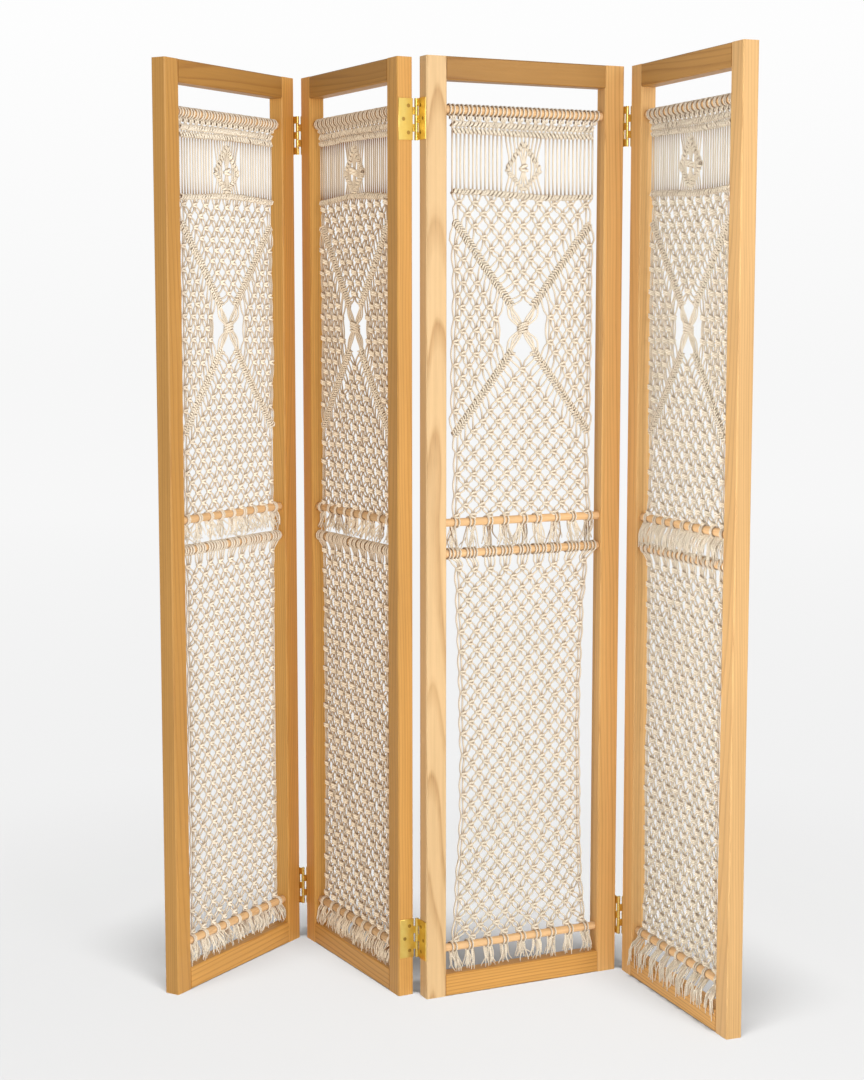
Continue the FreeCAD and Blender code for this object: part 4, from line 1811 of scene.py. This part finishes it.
    def copied(self, model: bpy.types.Object, place: Matrix) -> bpy.types.Object:
        """Copy of a model with its own mesh.

        Args:
            model: What is copied.
            place: Where the copy goes.

        Returns:
            The copy.
        """
        made = bpy.data.objects.new(model.name, model.data.copy())
        made.data.transform(place)
        bpy.context.scene.collection.objects.link(made)
        return made


@dataclass(frozen=True)
class SoftBox:
    """Soft light with a grid: its place and aim, the size of its face, its watts and its angle in degrees."""

    spot: Triple
    aim: Triple
    size: tuple[float, float]
    power: float
    spread: float = 180.0


@dataclass
class Studio:
    """Pale floor without an end, a pale room, soft lights and the camera."""

    room_radius: float = 40.0
    room_sides: int = 48
    floor_share: float = 0.97
    floor_sides: int = 96
    fade_start: float = 0.8
    fade_end: float = 2.0
    floor_shade: Colour = (0.23, 0.23, 0.23, 1.0)
    floor_glow: float = 0.085
    near_glow: float = 0.866
    far_glow: float = 0.932
    top_glow: float = 0.985
    far_reach: float = 9.0
    top_rise: float = 7.0
    floor_light: float = 4.3
    floor_light_angle: float = 8.0
    floor_lights: tuple[tuple[str, float, float], ...] = (
        ("floor_light_right", 22.0, 79.0), ("floor_light_left", -30.0, 81.0))
    low_light: float = 0.76
    high_light: float = 0.52
    side_light: float = 0.10
    front_light: SoftBox = SoftBox((2.15, -3.86, 1.75), (0.0, 0.0, 0.85), (1.5, 1.5), 118.0)
    strip_light: SoftBox = SoftBox((-1.35, -1.1, 0.95), (0.66, -0.42, 0.88), (0.35, 1.8), 3.4, 42.0)
    net_light: SoftBox = SoftBox((-1.5, -3.4, 1.1), (-0.35, -0.2, 0.9), (1.0, 1.4), 50.0)
    strip_reach: tuple[str, ...] = ("panel_3", "panel_4")
    net_reach: tuple[str, ...] = (
        "panel_1_upper_net", "panel_1_lower_net", "panel_2_upper_net", "panel_2_lower_net")
    eye: Triple = (-0.023, -3.7616, 1.301)
    pitch: float = 6.625
    focal_pixels: float = 2006.0
    frame_pixels: float = 1080.0
    sensor: float = 36.0

    def build(self) -> None:
        """Set up the room, the lights and the camera."""
        self.make_room()
        self.make_floor()
        self.make_world()
        self.make_light("front_light", self.front_light)
        right_half = [piece for piece in bpy.data.objects if piece.name.startswith(self.strip_reach)]
        self.limit(self.make_light("strip_light", self.strip_light), right_half)
        left_nets = [bpy.data.objects[name] for name in self.net_reach]
        self.limit(self.make_light("net_light", self.net_light), left_nets)
        for name, bearing, height in self.floor_lights:
            self.make_floor_light(name, bearing, height)
        self.make_camera()

    def glow(self, shader: Shader, place: Field, span: tuple[float, float],
             levels: tuple[float, float]) -> Field:
        """White glow that rises from one level to another.

        Args:
            shader: The shader that it belongs to.
            place: How far along its span a spot lies.
            span: First and last place of the span.
            levels: Level of the glow at each.

        Returns:
            The glow.
        """
        names = ("From Min", "From Max", "To Min", "To Max")
        level = shader.node("ShaderNodeMapRange", {}, {"Value": place, **dict(zip(names, span + levels))})
        return shader.node("ShaderNodeEmission", {}, {"Color": level})

    def make_room(self) -> None:
        """White room far round the screen, which is seen but sheds no light of its own."""
        bpy.ops.object.select_all(action="DESELECT")
        bpy.ops.mesh.primitive_uv_sphere_add(segments=self.room_sides, ring_count=self.room_sides // 2,
                                             radius=self.room_radius)
        room = bpy.context.object
        room.name = "studio_room"
        shader = Shader.material("studio_room")
        _, _, rise = shader.split(shader.spot())
        shader.finish(self.glow(shader, rise, (0.0, self.top_rise), (self.far_glow, self.top_glow)))
        room.data.materials.append(shader.owner)
        room.visible_diffuse = False
        room.visible_glossy = False
        room.visible_shadow = False

    def make_floor(self) -> None:
        """Round floor that fades into the room."""
        bpy.ops.object.select_all(action="DESELECT")
        radius = self.floor_share * self.room_radius
        bpy.ops.mesh.primitive_circle_add(vertices=self.floor_sides, radius=radius, fill_type="TRIFAN")
        floor = bpy.context.object
        floor.name = "studio_floor"
        shader = Shader.material("studio_paper")
        reach = shader.node("ShaderNodeVectorMath", {"operation": "LENGTH"}, {0: shader.spot()}, "Value")
        span = {"Value": reach, "From Min": self.fade_start, "From Max": self.fade_end}
        fade = shader.node("ShaderNodeMapRange", {"interpolation_type": "SMOOTHSTEP"}, span)
        paper = shader.node("ShaderNodeBsdfPrincipled", {}, {
            "Base Color": self.floor_shade, "Roughness": 1.0, "Specular IOR Level": 0.0,
            "Emission Color": (1.0, 1.0, 1.0, 1.0), "Emission Strength": self.floor_glow})
        far = self.glow(shader, reach, (0.0, self.far_reach), (self.near_glow, self.far_glow))
        shader.finish(shader.node("ShaderNodeMixShader", {}, {0: fade, 1: paper, 2: far}))
        floor.data.materials.append(shader.owner)
        self.floor = floor

    def make_world(self) -> None:
        """Soft light from all round, weaker from above and from the left."""
        shader = Shader(bpy.data.worlds.new("studio_light"))
        right, _, rise = shader.split(shader.node("ShaderNodeTexCoord", {}, {}, "Generated"))
        drop = rise.apply("ABSOLUTE") * (self.high_light - self.low_light)
        level = self.low_light + drop + right * self.side_light
        shader.finish(shader.node("ShaderNodeBackground", {}, {"Strength": level}))
        bpy.context.scene.world = shader.owner

    def make_light(self, name: str, box: SoftBox) -> bpy.types.Object:
        """Put up a soft light.

        Args:
            name: The light's name.
            box: Where it stands, how it points and how strong it is.

        Returns:
            The light.
        """
        lamp = bpy.data.lights.new(name, "AREA")
        lamp.energy = box.power
        lamp.shape = "RECTANGLE"
        lamp.size, lamp.size_y = box.size
        lamp.spread = math.radians(box.spread)
        made = bpy.data.objects.new(name, lamp)
        made.location = box.spot
        made.rotation_euler = (Vector(box.aim) - Vector(box.spot)).to_track_quat("-Z", "Y").to_euler()
        made.visible_camera = False
        bpy.context.scene.collection.objects.link(made)
        return made

    def limit(self, light: bpy.types.Object, lit: Sequence[bpy.types.Object]) -> None:
        """Let a light fall on a few objects alone.

        Args:
            light: The light.
            lit: The objects.
        """
        group = bpy.data.collections.new(f"{light.name}_reach")
        for piece in lit:
            group.objects.link(piece)
        light.light_linking.receiver_collection = group

    def make_floor_light(self, name: str, bearing: float, height: float) -> None:
        """Soft light from high up that lies on the floor alone and gives it the screen's shadows.

        Args:
            name: The light's name.
            bearing: Where it comes from, in degrees to the right of the front.
            height: How high it stands, in degrees.
        """
        lamp = bpy.data.lights.new(name, "SUN")
        lamp.energy = self.floor_light
        lamp.angle = math.radians(self.floor_light_angle)
        made = bpy.data.objects.new(name, lamp)
        made.rotation_euler = (math.radians(90.0 - height), 0.0, math.radians(bearing))
        bpy.context.scene.collection.objects.link(made)
        self.limit(made, [self.floor])

    def make_camera(self) -> None:
        """Camera at the photograph's place, with its angle of view."""
        lens = bpy.data.cameras.new("camera")
        lens.sensor_width = self.sensor
        lens.lens = self.sensor * self.focal_pixels / self.frame_pixels
        made = bpy.data.objects.new("camera", lens)
        made.location = self.eye
        made.rotation_euler = (math.radians(90.0 - self.pitch), 0.0, 0.0)
        bpy.context.scene.collection.objects.link(made)
        bpy.context.scene.camera = made
        bpy.context.scene.view_settings.view_transform = "Standard"


def main() -> None:
    """Dress the frame, knot the nets and set up the studio."""
    logging.basicConfig(level=logging.INFO, format="%(message)s")
    bpy.ops.object.select_all(action="DESELECT")
    for index in PANELS:
        place = PanelPlace.read(index)
        PanelTimber(place).dress()
        UpperNet(place, seed=UPPER_SEED + index).build()
        LowerNet(place, seed=LOWER_SEED + index).build()
    Hinges().build()
    Studio().build()


if __name__ == "__main__":
    main()
